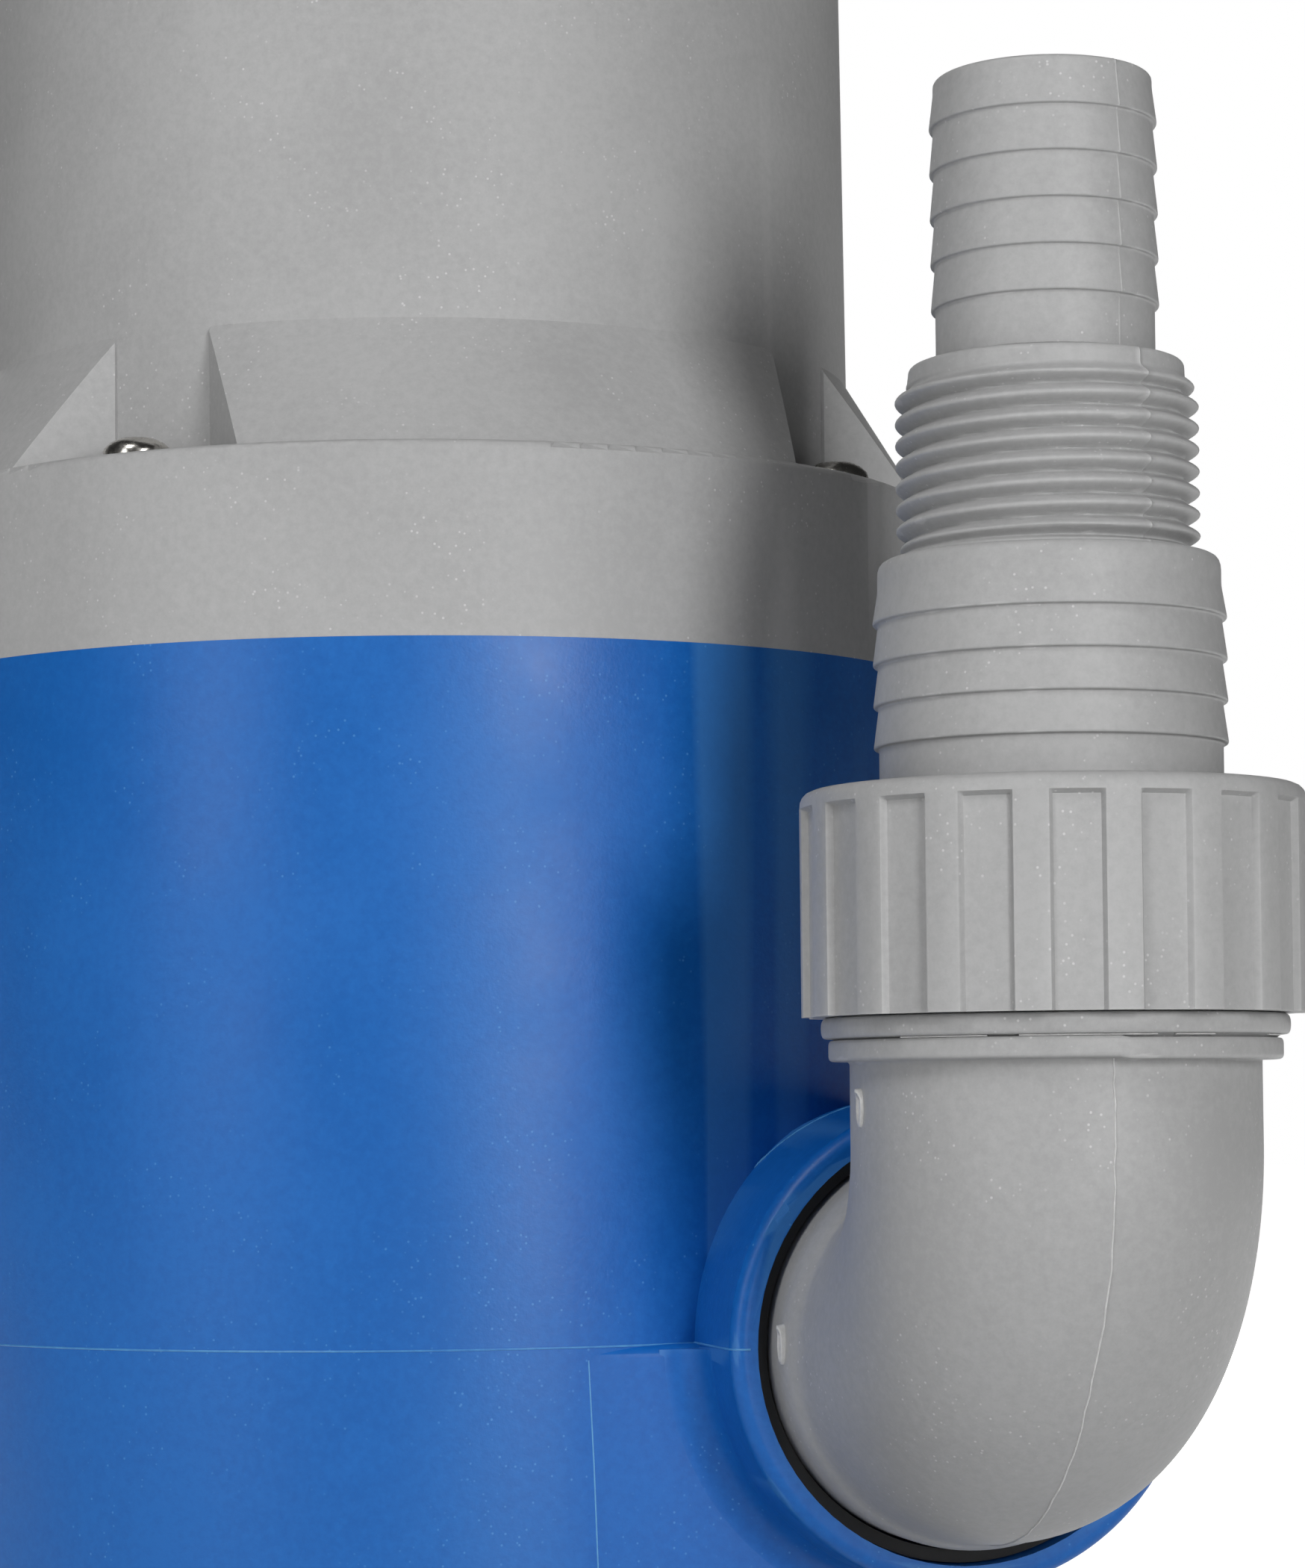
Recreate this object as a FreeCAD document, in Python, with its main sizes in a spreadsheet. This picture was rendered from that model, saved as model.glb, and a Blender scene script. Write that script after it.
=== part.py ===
import FreeCAD, Part
import Sketcher
import math
import os

# Submersible sump pump with a tangential outlet, a screwed elbow and a stepped hose adapter.
# Millimetres. The origin is on the pump axis in the face it rests on, +Z is up,
# the outlet points towards -Y and the riser stands beside the pump at +X.

V = FreeCAD.Vector
doc = FreeCAD.newDocument("sump_pump")
dims = doc.addObject("Spreadsheet::Sheet", "dims")

DIMENSIONS = [
    # blue casing, its volute chamber and its outlet
    ("casing_radius", 68), ("casing_bore", 64.5), ("casing_bottom", 28), ("chamber_bottom", 42),
    ("chamber_top", 78), ("ledge_top", 82), ("rim_bottom", 132.5), ("casing_top", 142.5),
    ("outlet_height", 60), ("outlet_offset", 46.5), ("outlet_reach", 81),
    ("boss_radius", 28.6), ("boss_length", 21), ("boss_root_radius", 19.8), ("boss_rounding", 1.8),
    ("pad_rounding", 1.5),
    ("mouth_radius", 25.6), ("mouth_depth", 5), ("thread_bore", 23.9), ("thread_depth", 20),
    ("chamber_radius", 60.5), ("chamber_centre", 4), ("chamber_shift", 3), ("tongue_depth", 42.9),
    ("ledge_bore", 50), ("rim_bore", 55), ("pad_front", 67.87), ("pad_side", 62), ("pad_back", 20),
    ("pad_corner", 18), ("margin", 1),
    ("fit_gap", 0.2), ("seal_radius", 57.6), ("seal_section", 1.4), ("passage_bore", 17),
    # screws of the flange and of the foot
    ("screw_circle", 62), ("pillar_radius", 5), ("pillar_bottom", 110), ("foot_screw_circle", 61),
    ("foot_pillar_radius", 4.5), ("screw_radius", 2), ("screw_head", 3.9), ("screw_head_height", 2.4),
    ("screw_crown", 2.6), ("flange_screw_length", 30), ("foot_screw_length", 32), ("screw_count", 4),
    # grey motor cover
    ("flange_top", 165.5), ("flange_step", 1), ("cone_top", 181.7), ("cover_radius", 57),
    ("cover_top_radius", 56.4), ("cover_ceiling", 262), ("cover_top", 268), ("cover_bore", 54),
    ("cover_rounding", 8), ("pocket_root", 50), ("pocket_inner", 7), ("pocket_reach", 72),
    ("pocket_outer", 25), ("clamp_bore", 47), ("clamp_bottom", 214), ("clamp_top", 218),
    ("lug_radius", 5), ("lug_bottom", 250),
    # carrying handle
    ("handle_side", 45), ("handle_inside", 33), ("handle_top", 312), ("handle_underside", 299),
    ("handle_width", 24), ("handle_foot_inside", 18), ("handle_foot_height", 4), ("handle_corner", 16),
    ("handle_inner_corner", 6), ("handle_screw_reach", 24), ("handle_screw_length", 16),
    ("handle_rounding", 3), ("clip_width", 7.5), ("clip_depth", 7), ("clip_height", 284), ("eye_radius", 3.5),
    ("eye_reach", 36), ("eye_height", 302),
    # lead inlets on the crown
    ("gland_back", 31), ("mains_gland_x", 15), ("float_gland_x", -17), ("mains_bore", 4.3),
    ("float_bore", 3.5), ("gland_sleeve", 6.4), ("gland_flange", 9.5), ("gland_flange_height", 4),
    ("gland_stub", 7.4), ("gland_stub_length", 12), ("gland_thread", 8), ("gland_thread_top", 11),
    ("gland_nut_radius", 10.5), ("gland_nut_shoulder", 13), ("gland_nut_top", 19), ("gland_nut_tip", 7.5),
    ("gland_nut_dome", 7.5),
    ("gland_lip", 5), ("gland_sleeve_top", 15), ("locknut_radius", 11), ("locknut_height", 4),
    # suction foot and chamber cover
    ("foot_radius", 71), ("foot_plate", 3), ("foot_wall", 3), ("foot_rounding", 1.5), ("foot_shoulder", 24),
    ("spigot_inside", 61.3),
    ("spigot_top", 34), ("window_bottom", 6), ("window_height", 17), ("window_width", 24),
    ("window_depth", 12), ("window_count", 12), ("head_recess", 4.3), ("suction_eye", 17),
    ("suction_funnel", 24), ("funnel_top", 40),
    # lower bearing shield and shaft seal
    ("shield_spigot", 49.8), ("shield_top", 90), ("shield_hub", 22), ("shield_hub_top", 106),
    ("shield_seal_radius", 56), ("shield_seal_section", 1.2), ("seal_seat_radius", 12), ("seal_seat_top", 88),
    ("seal_seat_bottom", 80), ("lip_seal_radius", 11), ("lip_seal_top", 94), ("bearing_bottom", 96),
    ("shaft_opening", 7.5), ("seal_bore", 6.2), ("seal_ring_radius", 10), ("seal_ring_top", 79.5),
    # ball bearings
    ("bearing_radius", 16), ("bearing_width", 10), ("outer_race_bore", 13.2), ("inner_race_radius", 8.8),
    ("ball_circle", 11), ("ball_radius", 2.8), ("race_groove", 3.1), ("groove_half", 2.18), ("ball_count", 8),
    ("cage_inside", 10.5), ("cage_outside", 11.5), ("cage_height", 2), ("upper_bearing_bottom", 203),
    # shaft, impeller and rotor
    ("shaft_radius", 6), ("shaft_bottom", 43), ("shaft_top", 216), ("hub_bottom", 50), ("stud_radius", 4),
    ("washer_radius", 9), ("washer_bottom", 48.5), ("nut_bottom", 42.5), ("nut_corner", 7.5),
    ("impeller_radius", 44), ("shroud_top", 73), ("shroud_bottom", 70), ("vane_bottom", 44.5),
    ("impeller_hub", 11), ("vane_root", 9), ("vane_half", 1.4), ("vane_curve", 34), ("vane_count", 6),
    ("vane_tip_x", 33.5), ("vane_tip_y", 30.5), ("vane_tip_width", 2.6), ("rotor_radius", 27),
    ("rotor_bottom", 118), ("rotor_top", 178), ("end_ring_height", 7), ("end_ring_bore", 17),
    # stator, windings, can and capacitor
    ("stator_bore", 27.5), ("stator_radius", 49.5), ("slot_count", 24), ("slot_width", 3),
    ("slot_start", 29), ("slot_end", 41), ("coil_gap", 0.2), ("coil_overlap", 2), ("winding_inside", 30),
    ("winding_outside", 44), ("winding_height", 15), ("winding_rounding", 4), ("can_radius", 51),
    ("upper_shield_bottom", 204),
    ("upper_hub", 20), ("upper_hub_bottom", 200), ("upper_hub_top", 219), ("upper_bearing_top", 213),
    ("capacitor_radius", 12.5), ("capacitor_height", 34), ("capacitor_reach", 33.5), ("strap_thickness", 1.5),
    ("strap_height", 8), ("strap_bottom", 228), ("cutout_length", 14), ("cutout_width", 6),
    ("cutout_height", 5),
    # elbow, heights above the outlet axis
    ("elbow_reach", 109), ("elbow_bend", 23), ("elbow_radius", 22.6), ("elbow_bore", 18),
    ("collar_radius", 24.4), ("collar_front", 85), ("collar_back", 79), ("elbow_thread", 23.6),
    ("thread_end", 63), ("gasket_bore", 23.9), ("gasket_radius", 25.4), ("gasket_gap", 0.2),
    ("lower_ring", 24.7), ("upper_ring", 25.5), ("lower_ring_bottom", 32.4), ("upper_ring_bottom", 34.8),
    ("nut_foot", 37.3), ("riser_thread", 24), ("riser_top", 52),
    # union nut and hose adapter, heights above the outlet axis
    ("union_gasket_top", 53.5), ("union_gasket_bore", 18.5), ("nut_rib_radius", 27.6), ("nut_groove", 26.5),
    ("nut_groove_width", 5.2), ("nut_groove_top", 58.8), ("nut_top", 61), ("nut_rib_count", 18),
    ("nut_rounding", 0.8), ("nut_bore", 24.5), ("nut_rim_bore", 20), ("nut_rim_bottom", 58),
    ("turning_gap", 0.2),
    ("adapter_flange", 23.5), ("adapter_flange_top", 57.6), ("big_barb", 19.3), ("big_core", 18.8),
    ("big_bore", 15.5), ("big_step", 66.1), ("big_pitch", 4.57), ("big_count", 4), ("big_land", 84),
    ("big_top", 86), ("big_shoulder", 17.3), ("thread_radius", 16.6), ("thread_root", 15.6),
    ("thread_bottom", 87.2), ("thread_top", 104.4), ("thread_ring", 15.2), ("thread_ring_top", 106.6),
    ("small_barb", 12.46), ("small_core", 12.05), ("small_bore", 9.5), ("small_step", 114.3),
    ("small_pitch", 5.13), ("small_count", 5), ("small_land", 139), ("adapter_top", 140),
    ("adapter_tip", 11.6), ("small_bore_bottom", 88), ("big_bore_top", 84),
]
for row, (alias, number) in enumerate(DIMENSIONS, start=1):
    dims.set(f"A{row}", alias)
    dims.set(f"B{row}", str(number))
    dims.setAlias(f"B{row}", alias)
doc.recompute()


def number_of(word):
    """A plain number, or the value of the cell with that alias."""
    return float(dims.get(word)) if word[0].isalpha() else float(word)


def size(text):
    """Value of a sum of products such as 'casing_top - 2 * fit_gap'."""
    total = 0.0
    for term in text.replace(" - ", " + -").split(" + "):
        words = term.lstrip("-").split()
        product = number_of(words[0])
        for operator, word in zip(words[1::2], words[2::2]):
            product = product * number_of(word) if operator == "*" else product / number_of(word)
        total += -product if term.startswith("-") else product
    return total


def bound(text):
    """The same sum as an expression on the sheet's cells."""
    return " ".join(f"dims.{word}" if word[0].isalpha() else word for word in text.split())


def draw(sketch, corners):
    """Close an outline through the corners; (x, y, 'left' or 'right', radius) starts an arc."""
    ends = []
    for index, corner in enumerate(corners):
        following = corners[(index + 1) % len(corners)]
        here = V(size(corner[0]), size(corner[1]), 0)
        there = V(size(following[0]), size(following[1]), 0)
        if len(corner) == 2:
            sketch.addGeometry(Part.LineSegment(here, there), False)
            ends.append((1, 2))
            continue
        chord = there - here
        side = V(-chord.y, chord.x, 0).normalize()
        radius = size(corner[3])
        sagitta = math.sqrt(max(radius ** 2 - (chord.Length / 2) ** 2, 0))
        left = corner[2] == "left"
        centre = (here + there) / 2 + side * (sagitta if left else -sagitta)
        first, last = (here, there) if left else (there, here)
        angle_1 = math.atan2(first.y - centre.y, first.x - centre.x)
        angle_2 = math.atan2(last.y - centre.y, last.x - centre.x)
        if angle_2 < angle_1:
            angle_2 += 2 * math.pi
        sketch.addGeometry(Part.ArcOfCircle(Part.Circle(centre, V(0, 0, 1), radius), angle_1, angle_2), False)
        ends.append((1, 2) if left else (2, 1))
    for index, corner in enumerate(corners):
        after = (index + 1) % len(corners)
        sketch.addConstraint(Sketcher.Constraint("Coincident", index, ends[index][1], after, ends[after][0]))
        for direction, text in (("DistanceX", corner[0]), ("DistanceY", corner[1])):
            sketch.addConstraint(Sketcher.Constraint(direction, -1, 1, index, ends[index][0], size(text)))
            sketch.setExpression(f"Constraints[{sketch.ConstraintCount - 1}]", bound(text))
        if len(corner) == 4:
            sketch.addConstraint(Sketcher.Constraint("Radius", index, size(corner[3])))
            sketch.setExpression(f"Constraints[{sketch.ConstraintCount - 1}]", bound(corner[3]))


def origin_feature(body, role):
    """One of a body's own planes or axes."""
    return next(feature for feature in body.Origin.OriginFeatures if feature.Role == role)


def put(thing, x="0", y="0", z="0", turn=None):
    """Place an object by sums of the sheet's cells."""
    thing.Placement = FreeCAD.Placement(V(size(x), size(y), size(z)), turn or FreeCAD.Rotation())
    for direction, text in (("x", x), ("y", y), ("z", z)):
        thing.setExpression(f"Placement.Base.{direction}", bound(text))
    return thing


def turned(name, corners, x="0", y="0", z="0"):
    """A body turned about an upright axis from an outline of (radius, height) corners."""
    body = doc.addObject("PartDesign::Body", name)
    sketch = body.newObject("Sketcher::SketchObject", name + "_outline")
    sketch.AttachmentSupport = [(origin_feature(body, "XZ_Plane"), "")]
    sketch.MapMode = "FlatFace"
    draw(sketch, corners)
    revolution = body.newObject("PartDesign::Revolution", name + "_turn")
    revolution.Profile = sketch
    revolution.ReferenceAxis = (origin_feature(body, "Z_Axis"), [""])
    revolution.Angle = 360
    return put(body, x, y, z)


def ring(name, inner, outer, bottom, top, x="0", y="0", z="0"):
    """A plain turned ring."""
    return turned(name, [(inner, bottom), (outer, bottom), (outer, top), (inner, top)], x, y, z)


FORWARD = FreeCAD.Rotation(V(1, 0, 0), 90)


def rod(name, radius, length, x="0", y="0", z="0", turn=None):
    """A solid cylinder; with the turn FORWARD it runs along the outlet, towards -Y."""
    cylinder = doc.addObject("Part::Cylinder", name)
    cylinder.setExpression("Radius", bound(radius))
    cylinder.setExpression("Height", bound(length))
    return put(cylinder, x, y, z, turn)


def block(name, width, depth, height, x, y, z):
    """A solid box from its lowest corner."""
    box = doc.addObject("Part::Box", name)
    box.setExpression("Length", bound(width))
    box.setExpression("Width", bound(depth))
    box.setExpression("Height", bound(height))
    return put(box, x, y, z)


def hoop(name, radius, section, x="0", y="0", z="0"):
    """A round ring about an upright axis."""
    torus = doc.addObject("Part::Torus", name)
    torus.setExpression("Radius1", bound(radius))
    torus.setExpression("Radius2", bound(section))
    return put(torus, x, y, z)


def prism(name, corners, bottom, height):
    """An upright solid on an outline of (x, y) corners."""
    sketch = doc.addObject("Sketcher::SketchObject", name + "_outline")
    draw(sketch, corners)
    put(sketch, z=bottom)
    extrusion = doc.addObject("Part::Extrusion", name)
    extrusion.Base = sketch
    extrusion.DirMode = "Normal"
    extrusion.Solid = True
    extrusion.setExpression("LengthFwd", bound(height))
    return extrusion


def around(name, thing, count, start=0.0):
    """Copies of a thing, evenly spaced about the pump's axis."""
    copies = []
    for index in range(int(size(count))):
        link = doc.addObject("App::Link", f"{name}_{index + 1}")
        link.LinkedObject = thing
        link.LinkTransform = True
        turn = FreeCAD.Rotation(V(0, 0, 1), start + index * 360.0 / size(count))
        link.Placement = FreeCAD.Placement(V(0, 0, 0), turn)
        copies.append(link)
    group = doc.addObject("Part::Compound", name)
    group.Links = copies
    return group


def joined(name, *pieces):
    """One solid from several."""
    fusion = doc.addObject("Part::MultiFuse", name)
    fusion.Shapes = list(pieces)
    fusion.Refine = True
    return fusion


def less(name, base, *tools):
    """The base with each tool cut away in turn."""
    for number, tool in enumerate(tools, start=1):
        cut = doc.addObject("Part::Cut", f"{name}_{number}")
        cut.Base = base
        cut.Tool = tool
        base = cut
    return base


def rounded(name, base, radius, chosen):
    """The base with a rounding on the edges that chosen accepts."""
    doc.recompute()
    fillet = doc.addObject("Part::Fillet", name)
    fillet.Base = base
    amount = size(radius)
    edges = enumerate(base.Shape.Edges, start=1)
    fillet.Edges = [(index, amount, amount) for index, edge in edges if chosen(edge)]
    return fillet


def near(value, target):
    return abs(value - target) < 1e-3


nodes = []


def node(name, thing):
    """Keep a finished piece under the name of its file."""
    thing.Label = name
    nodes.append(thing)
    return thing


def pan_screw(name, seat, length, x="0"):
    """A pan-head screw that points down, its head standing on the seat."""
    return turned(name, [
        ("0", f"{seat} - {length}"), ("screw_radius", f"{seat} - {length}"), ("screw_radius", seat),
        ("screw_head", seat), ("screw_head", f"{seat} + screw_head_height / 2"),
        ("screw_crown", f"{seat} + screw_head_height"), ("0", f"{seat} + screw_head_height")], x)


# Casing: a blue cylinder, open at both ends, with the volute chamber moulded in its lower half.
# The boss leaves it at a tangent, so its root merges with the side of the cylinder.
casing_barrel = rod("casing_barrel", "casing_radius", "casing_top - casing_bottom", z="casing_bottom")
boss_front = rod("boss_front", "boss_radius", "boss_length", "outlet_offset",
                 "boss_length - outlet_reach", "outlet_height", FORWARD)
boss_root = doc.addObject("Part::Cone", "boss_root")
boss_root.setExpression("Radius1", bound("boss_root_radius"))
boss_root.setExpression("Radius2", bound("boss_radius"))
boss_root.setExpression("Height", bound("outlet_reach - boss_length"))
put(boss_root, "outlet_offset", "0", "outlet_height", FORWARD)
boss_pad = prism("boss_pad", [
    ("0", "0 - pad_front"), ("pad_side - pad_corner", "0 - pad_front", "left", "pad_corner"),
    ("pad_side", "pad_corner - pad_front"), ("pad_side", "0 - pad_back"), ("0", "0 - pad_back")],
    "casing_bottom", "outlet_height - casing_bottom")
pad_soft = rounded("pad_soft", boss_pad, "pad_rounding",
                   lambda edge: near(edge.BoundBox.ZMin, size("outlet_height"))
                   and edge.BoundBox.XMax > size("margin") and edge.BoundBox.YMin < -size("pad_back + margin"))
casing_outside = joined("casing_outside", casing_barrel, boss_front, boss_root, pad_soft)
casing_softened = rounded("casing_softened", casing_outside, "boss_rounding",
                          lambda edge: near(edge.BoundBox.YMax, -size("outlet_reach")))

# The chamber's wall is a four-arc volute that opens into the outlet; the motor hangs in the hall above.
volute = prism("volute", [
    ("chamber_centre + chamber_radius", "0", "left", "chamber_radius"),
    ("chamber_centre", "chamber_radius", "left", "chamber_radius - chamber_shift"),
    ("chamber_centre - chamber_radius + chamber_shift", "chamber_shift",
     "left", "chamber_radius - 2 * chamber_shift"),
    ("chamber_centre - chamber_shift", "3 * chamber_shift - chamber_radius",
     "left", "chamber_radius - 3 * chamber_shift"),
    ("outlet_offset - passage_bore", "0 - tongue_depth")],
    "chamber_bottom", "chamber_top - chamber_bottom")
rim_pillar = rod("rim_pillar", "pillar_radius", "casing_top - pillar_bottom", "screw_circle",
                 z="pillar_bottom")
foot_boss = rod("foot_boss", "foot_pillar_radius", "chamber_bottom - casing_bottom",
                "foot_screw_circle", z="casing_bottom")
casing_hollow = less(
    "casing_hollow", casing_softened, volute,
    rod("outlet_passage", "passage_bore", "outlet_reach", "outlet_offset", "0", "outlet_height", FORWARD),
    rod("outlet_thread", "thread_bore", "thread_depth", "outlet_offset",
        "thread_depth - outlet_reach", "outlet_height", FORWARD),
    rod("outlet_mouth", "mouth_radius", "mouth_depth", "outlet_offset",
        "mouth_depth - outlet_reach", "outlet_height", FORWARD),
    rod("suction_recess", "casing_bore", "chamber_bottom - casing_bottom", z="casing_bottom"),
    rod("ledge_hole", "ledge_bore", "ledge_top - chamber_top", z="chamber_top"),
    rod("motor_hall", "casing_bore", "rim_bottom - ledge_top", z="ledge_top"),
    rod("rim_hole", "rim_bore", "casing_top - rim_bottom", z="rim_bottom"))
casing_braced = joined("casing_braced", casing_hollow, around("rim_pillars", rim_pillar, "screw_count", 45),
                       around("foot_bosses", foot_boss, "screw_count", 45))
node("pump_casing", less(
    "casing_drilled", casing_braced,
    around("rim_holes", rod("rim_pilot", "screw_radius", "flange_screw_length", "screw_circle",
                            z="flange_top - flange_screw_length"), "screw_count", 45),
    around("foot_holes", rod("foot_pilot", "screw_radius", "foot_screw_length", "foot_screw_circle",
                             z="foot_plate"), "screw_count", 45),
    ring("seal_groove", "seal_radius - seal_section", "seal_radius + seal_section",
         "casing_top - 2 * seal_section", "casing_top")))
node("flange_seal", hoop("flange_seal_ring", "seal_radius", "seal_section", z="casing_top - seal_section"))

# Motor cover: a grey cup with a wide flange, whose cone is broken by four flared screw pockets.
cover_cup = turned("cover_cup", [
    ("cover_bore", "casing_top"), ("casing_radius", "casing_top"),
    ("casing_radius", "flange_top - flange_step", "left", "flange_step"),
    ("casing_radius - flange_step", "flange_top"), ("cover_radius", "cone_top"),
    ("cover_top_radius", "cover_top - cover_rounding", "left", "cover_rounding"),
    ("cover_top_radius - cover_rounding", "cover_top"), ("0", "cover_top"), ("0", "cover_ceiling"),
    ("cover_bore", "cover_ceiling"), ("cover_bore", "clamp_top"), ("clamp_bore", "clamp_top"),
    ("clamp_bore", "clamp_bottom"), ("cover_bore", "clamp_bottom")])
pocket = less("pocket", prism("pocket_wedge", [
    ("pocket_root", "0 - pocket_inner"), ("cover_radius", "0 - pocket_inner"),
    ("pocket_reach", "0 - pocket_outer"), ("pocket_reach", "pocket_outer"),
    ("cover_radius", "pocket_inner"), ("pocket_root", "pocket_inner")],
    "flange_top", "cone_top - flange_top + margin"),
    rod("pocket_back", "cover_radius", "cone_top - flange_top + margin", z="flange_top"))
cover_lug = rod("cover_lug", "lug_radius", "cover_ceiling - lug_bottom", "handle_screw_reach", z="lug_bottom")
cover_lug_left = rod("cover_lug_left", "lug_radius", "cover_ceiling - lug_bottom",
                     "0 - handle_screw_reach", z="lug_bottom")
cover_braced = joined("cover_braced", cover_cup, cover_lug, cover_lug_left)
handle_foot_top = "cover_top + handle_foot_height"
handle_screw_bottom = f"{handle_foot_top} - handle_screw_length"
node("motor_cover", less(
    "cover_drilled", cover_braced, around("pockets", pocket, "screw_count", 45),
    around("flange_holes", rod("flange_hole", "screw_radius", "flange_top - casing_top", "screw_circle",
                               z="casing_top"), "screw_count", 45),
    rod("handle_pilot", "screw_radius", "handle_screw_length", "handle_screw_reach", z=handle_screw_bottom),
    rod("handle_pilot_left", "screw_radius", "handle_screw_length", "0 - handle_screw_reach",
        z=handle_screw_bottom),
    rod("mains_hole", "gland_stub", "cover_top - cover_ceiling", "mains_gland_x", "gland_back",
        "cover_ceiling"),
    rod("float_hole", "gland_stub", "cover_top - cover_ceiling", "float_gland_x", "gland_back",
        "cover_ceiling")))
node("flange_screws", around("flange_screw_set", pan_screw(
    "flange_screw", "flange_top", "flange_screw_length", "screw_circle"), "screw_count", 45))

# Handle: a moulded bow across the crown, with a notch that a lead is pressed into and an eye for a rope.
handle_sketch = doc.addObject("Sketcher::SketchObject", "handle_outline")
draw(handle_sketch, [
    ("handle_foot_inside", "cover_top"), ("handle_side", "cover_top"),
    ("handle_side", "handle_top - handle_corner", "left", "handle_corner"),
    ("handle_side - handle_corner", "handle_top"),
    ("handle_corner - handle_side", "handle_top", "left", "handle_corner"),
    ("0 - handle_side", "handle_top - handle_corner"), ("0 - handle_side", "cover_top"),
    ("0 - handle_foot_inside", "cover_top"), ("0 - handle_foot_inside", handle_foot_top),
    ("0 - handle_inside", handle_foot_top),
    ("0 - handle_inside", "handle_underside - handle_inner_corner", "right", "handle_inner_corner"),
    ("handle_inner_corner - handle_inside", "handle_underside"),
    ("handle_inside - handle_inner_corner", "handle_underside", "right", "handle_inner_corner"),
    ("handle_inside", "handle_underside - handle_inner_corner"), ("handle_inside", handle_foot_top),
    ("handle_foot_inside", handle_foot_top)])
put(handle_sketch, turn=FORWARD)
handle_bow = doc.addObject("Part::Extrusion", "handle_bow")
handle_bow.Base = handle_sketch
handle_bow.DirMode = "Normal"
handle_bow.Solid = True
handle_bow.Symmetric = True
handle_bow.setExpression("LengthFwd", bound("handle_width"))
handle_soft = rounded(
    "handle_soft", handle_bow, "handle_rounding",
    lambda edge: near(edge.BoundBox.YLength, 0) and edge.BoundBox.ZMax > size("clip_height"))
node("carry_handle", less(
    "handle_cut", handle_soft,
    block("lead_notch", "clip_depth", "clip_width", "handle_width", "0 - handle_side",
          "0 - clip_width / 2", "clip_height"),
    rod("rope_eye", "eye_radius", "2 * handle_width", "eye_reach", "handle_width", "eye_height", FORWARD),
    rod("handle_hole", "screw_radius", "handle_foot_height", "handle_screw_reach", z="cover_top"),
    rod("handle_hole_left", "screw_radius", "handle_foot_height", "0 - handle_screw_reach", z="cover_top")))
node("handle_screws", around("handle_screw_set", pan_screw(
    "handle_screw", handle_foot_top, "handle_screw_length", "handle_screw_reach"), "2"))


def lead_inlet(name, bore, x):
    """A gland through the crown: body, rubber sleeve, dome nut and the locknut inside."""
    place = {"x": x, "y": "gland_back", "z": "cover_top"}
    node(f"{name}_gland", turned(f"{name}_gland_body", [
        ("gland_lip", "0 - gland_stub_length"), ("gland_stub", "0 - gland_stub_length"),
        ("gland_stub", "0"), ("gland_flange", "0"), ("gland_flange", "gland_flange_height"),
        ("gland_thread", "gland_flange_height"),
        ("gland_thread", "gland_thread_top"), ("gland_sleeve", "gland_thread_top"),
        ("gland_sleeve", "gland_flange_height"), ("gland_lip", "gland_flange_height")], **place))
    node(f"{name}_gland_sleeve", ring(f"{name}_sleeve", bore, "gland_sleeve", "gland_flange_height",
                                      "gland_sleeve_top", **place))
    node(f"{name}_gland_nut", turned(f"{name}_dome_nut", [
        ("gland_thread", "gland_flange_height"), ("gland_nut_radius", "gland_flange_height"),
        ("gland_nut_radius", "gland_nut_shoulder", "left", "gland_nut_dome"),
        ("gland_nut_tip", "gland_nut_top"),
        ("gland_lip", "gland_nut_top"), ("gland_lip", "gland_sleeve_top"),
        ("gland_sleeve", "gland_sleeve_top"),
        ("gland_sleeve", "gland_thread_top"), ("gland_thread", "gland_thread_top")], **place))
    node(f"{name}_locknut", ring(
        f"{name}_lock_ring", "gland_stub", "locknut_radius", "cover_ceiling - cover_top - locknut_height",
        "cover_ceiling - cover_top", **place))


lead_inlet("mains", "mains_bore", "mains_gland_x")
lead_inlet("float", "float_bore", "float_gland_x")

# Suction foot: a closed plate that keeps mud out, under a wall of inlet windows.
foot_cup = turned("foot_cup", [
    ("0", "0"), ("foot_radius - foot_rounding", "0", "left", "foot_rounding"),
    ("foot_radius", "foot_rounding"), ("foot_radius", "foot_plate"), ("casing_radius", "casing_bottom"),
    ("casing_bore - fit_gap", "casing_bottom"), ("casing_bore - fit_gap", "spigot_top"),
    ("spigot_inside", "spigot_top"), ("spigot_inside", "casing_bottom - margin"),
    ("casing_radius - foot_wall", "foot_shoulder"), ("foot_radius - foot_wall", "foot_plate"),
    ("0", "foot_plate")])
foot_pillars = around("foot_pillars", rod("foot_pillar", "foot_pillar_radius",
                                          "casing_bottom - foot_plate", "foot_screw_circle",
                                          z="foot_plate"), "screw_count", 45)
boss_room = rod("boss_room", "foot_pillar_radius + fit_gap", "spigot_top - casing_bottom",
                "foot_screw_circle", z="casing_bottom")
foot_window = block("foot_window", "window_depth", "window_width", "window_height",
                    "foot_radius + foot_wall - window_depth", "0 - window_width / 2", "window_bottom")
node("suction_foot", less(
    "foot_cut", joined("foot_braced", foot_cup, foot_pillars),
    around("foot_windows", foot_window, "window_count"),
    around("foot_boss_rooms", boss_room, "screw_count", 45),
    around("foot_screw_holes", rod("foot_screw_hole", "screw_radius", "casing_bottom", "foot_screw_circle",
                                   z="foot_plate"), "screw_count", 45),
    around("head_recesses", rod("head_recess_tool", "head_recess", "foot_plate", "foot_screw_circle"),
           "screw_count", 45)))
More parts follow.
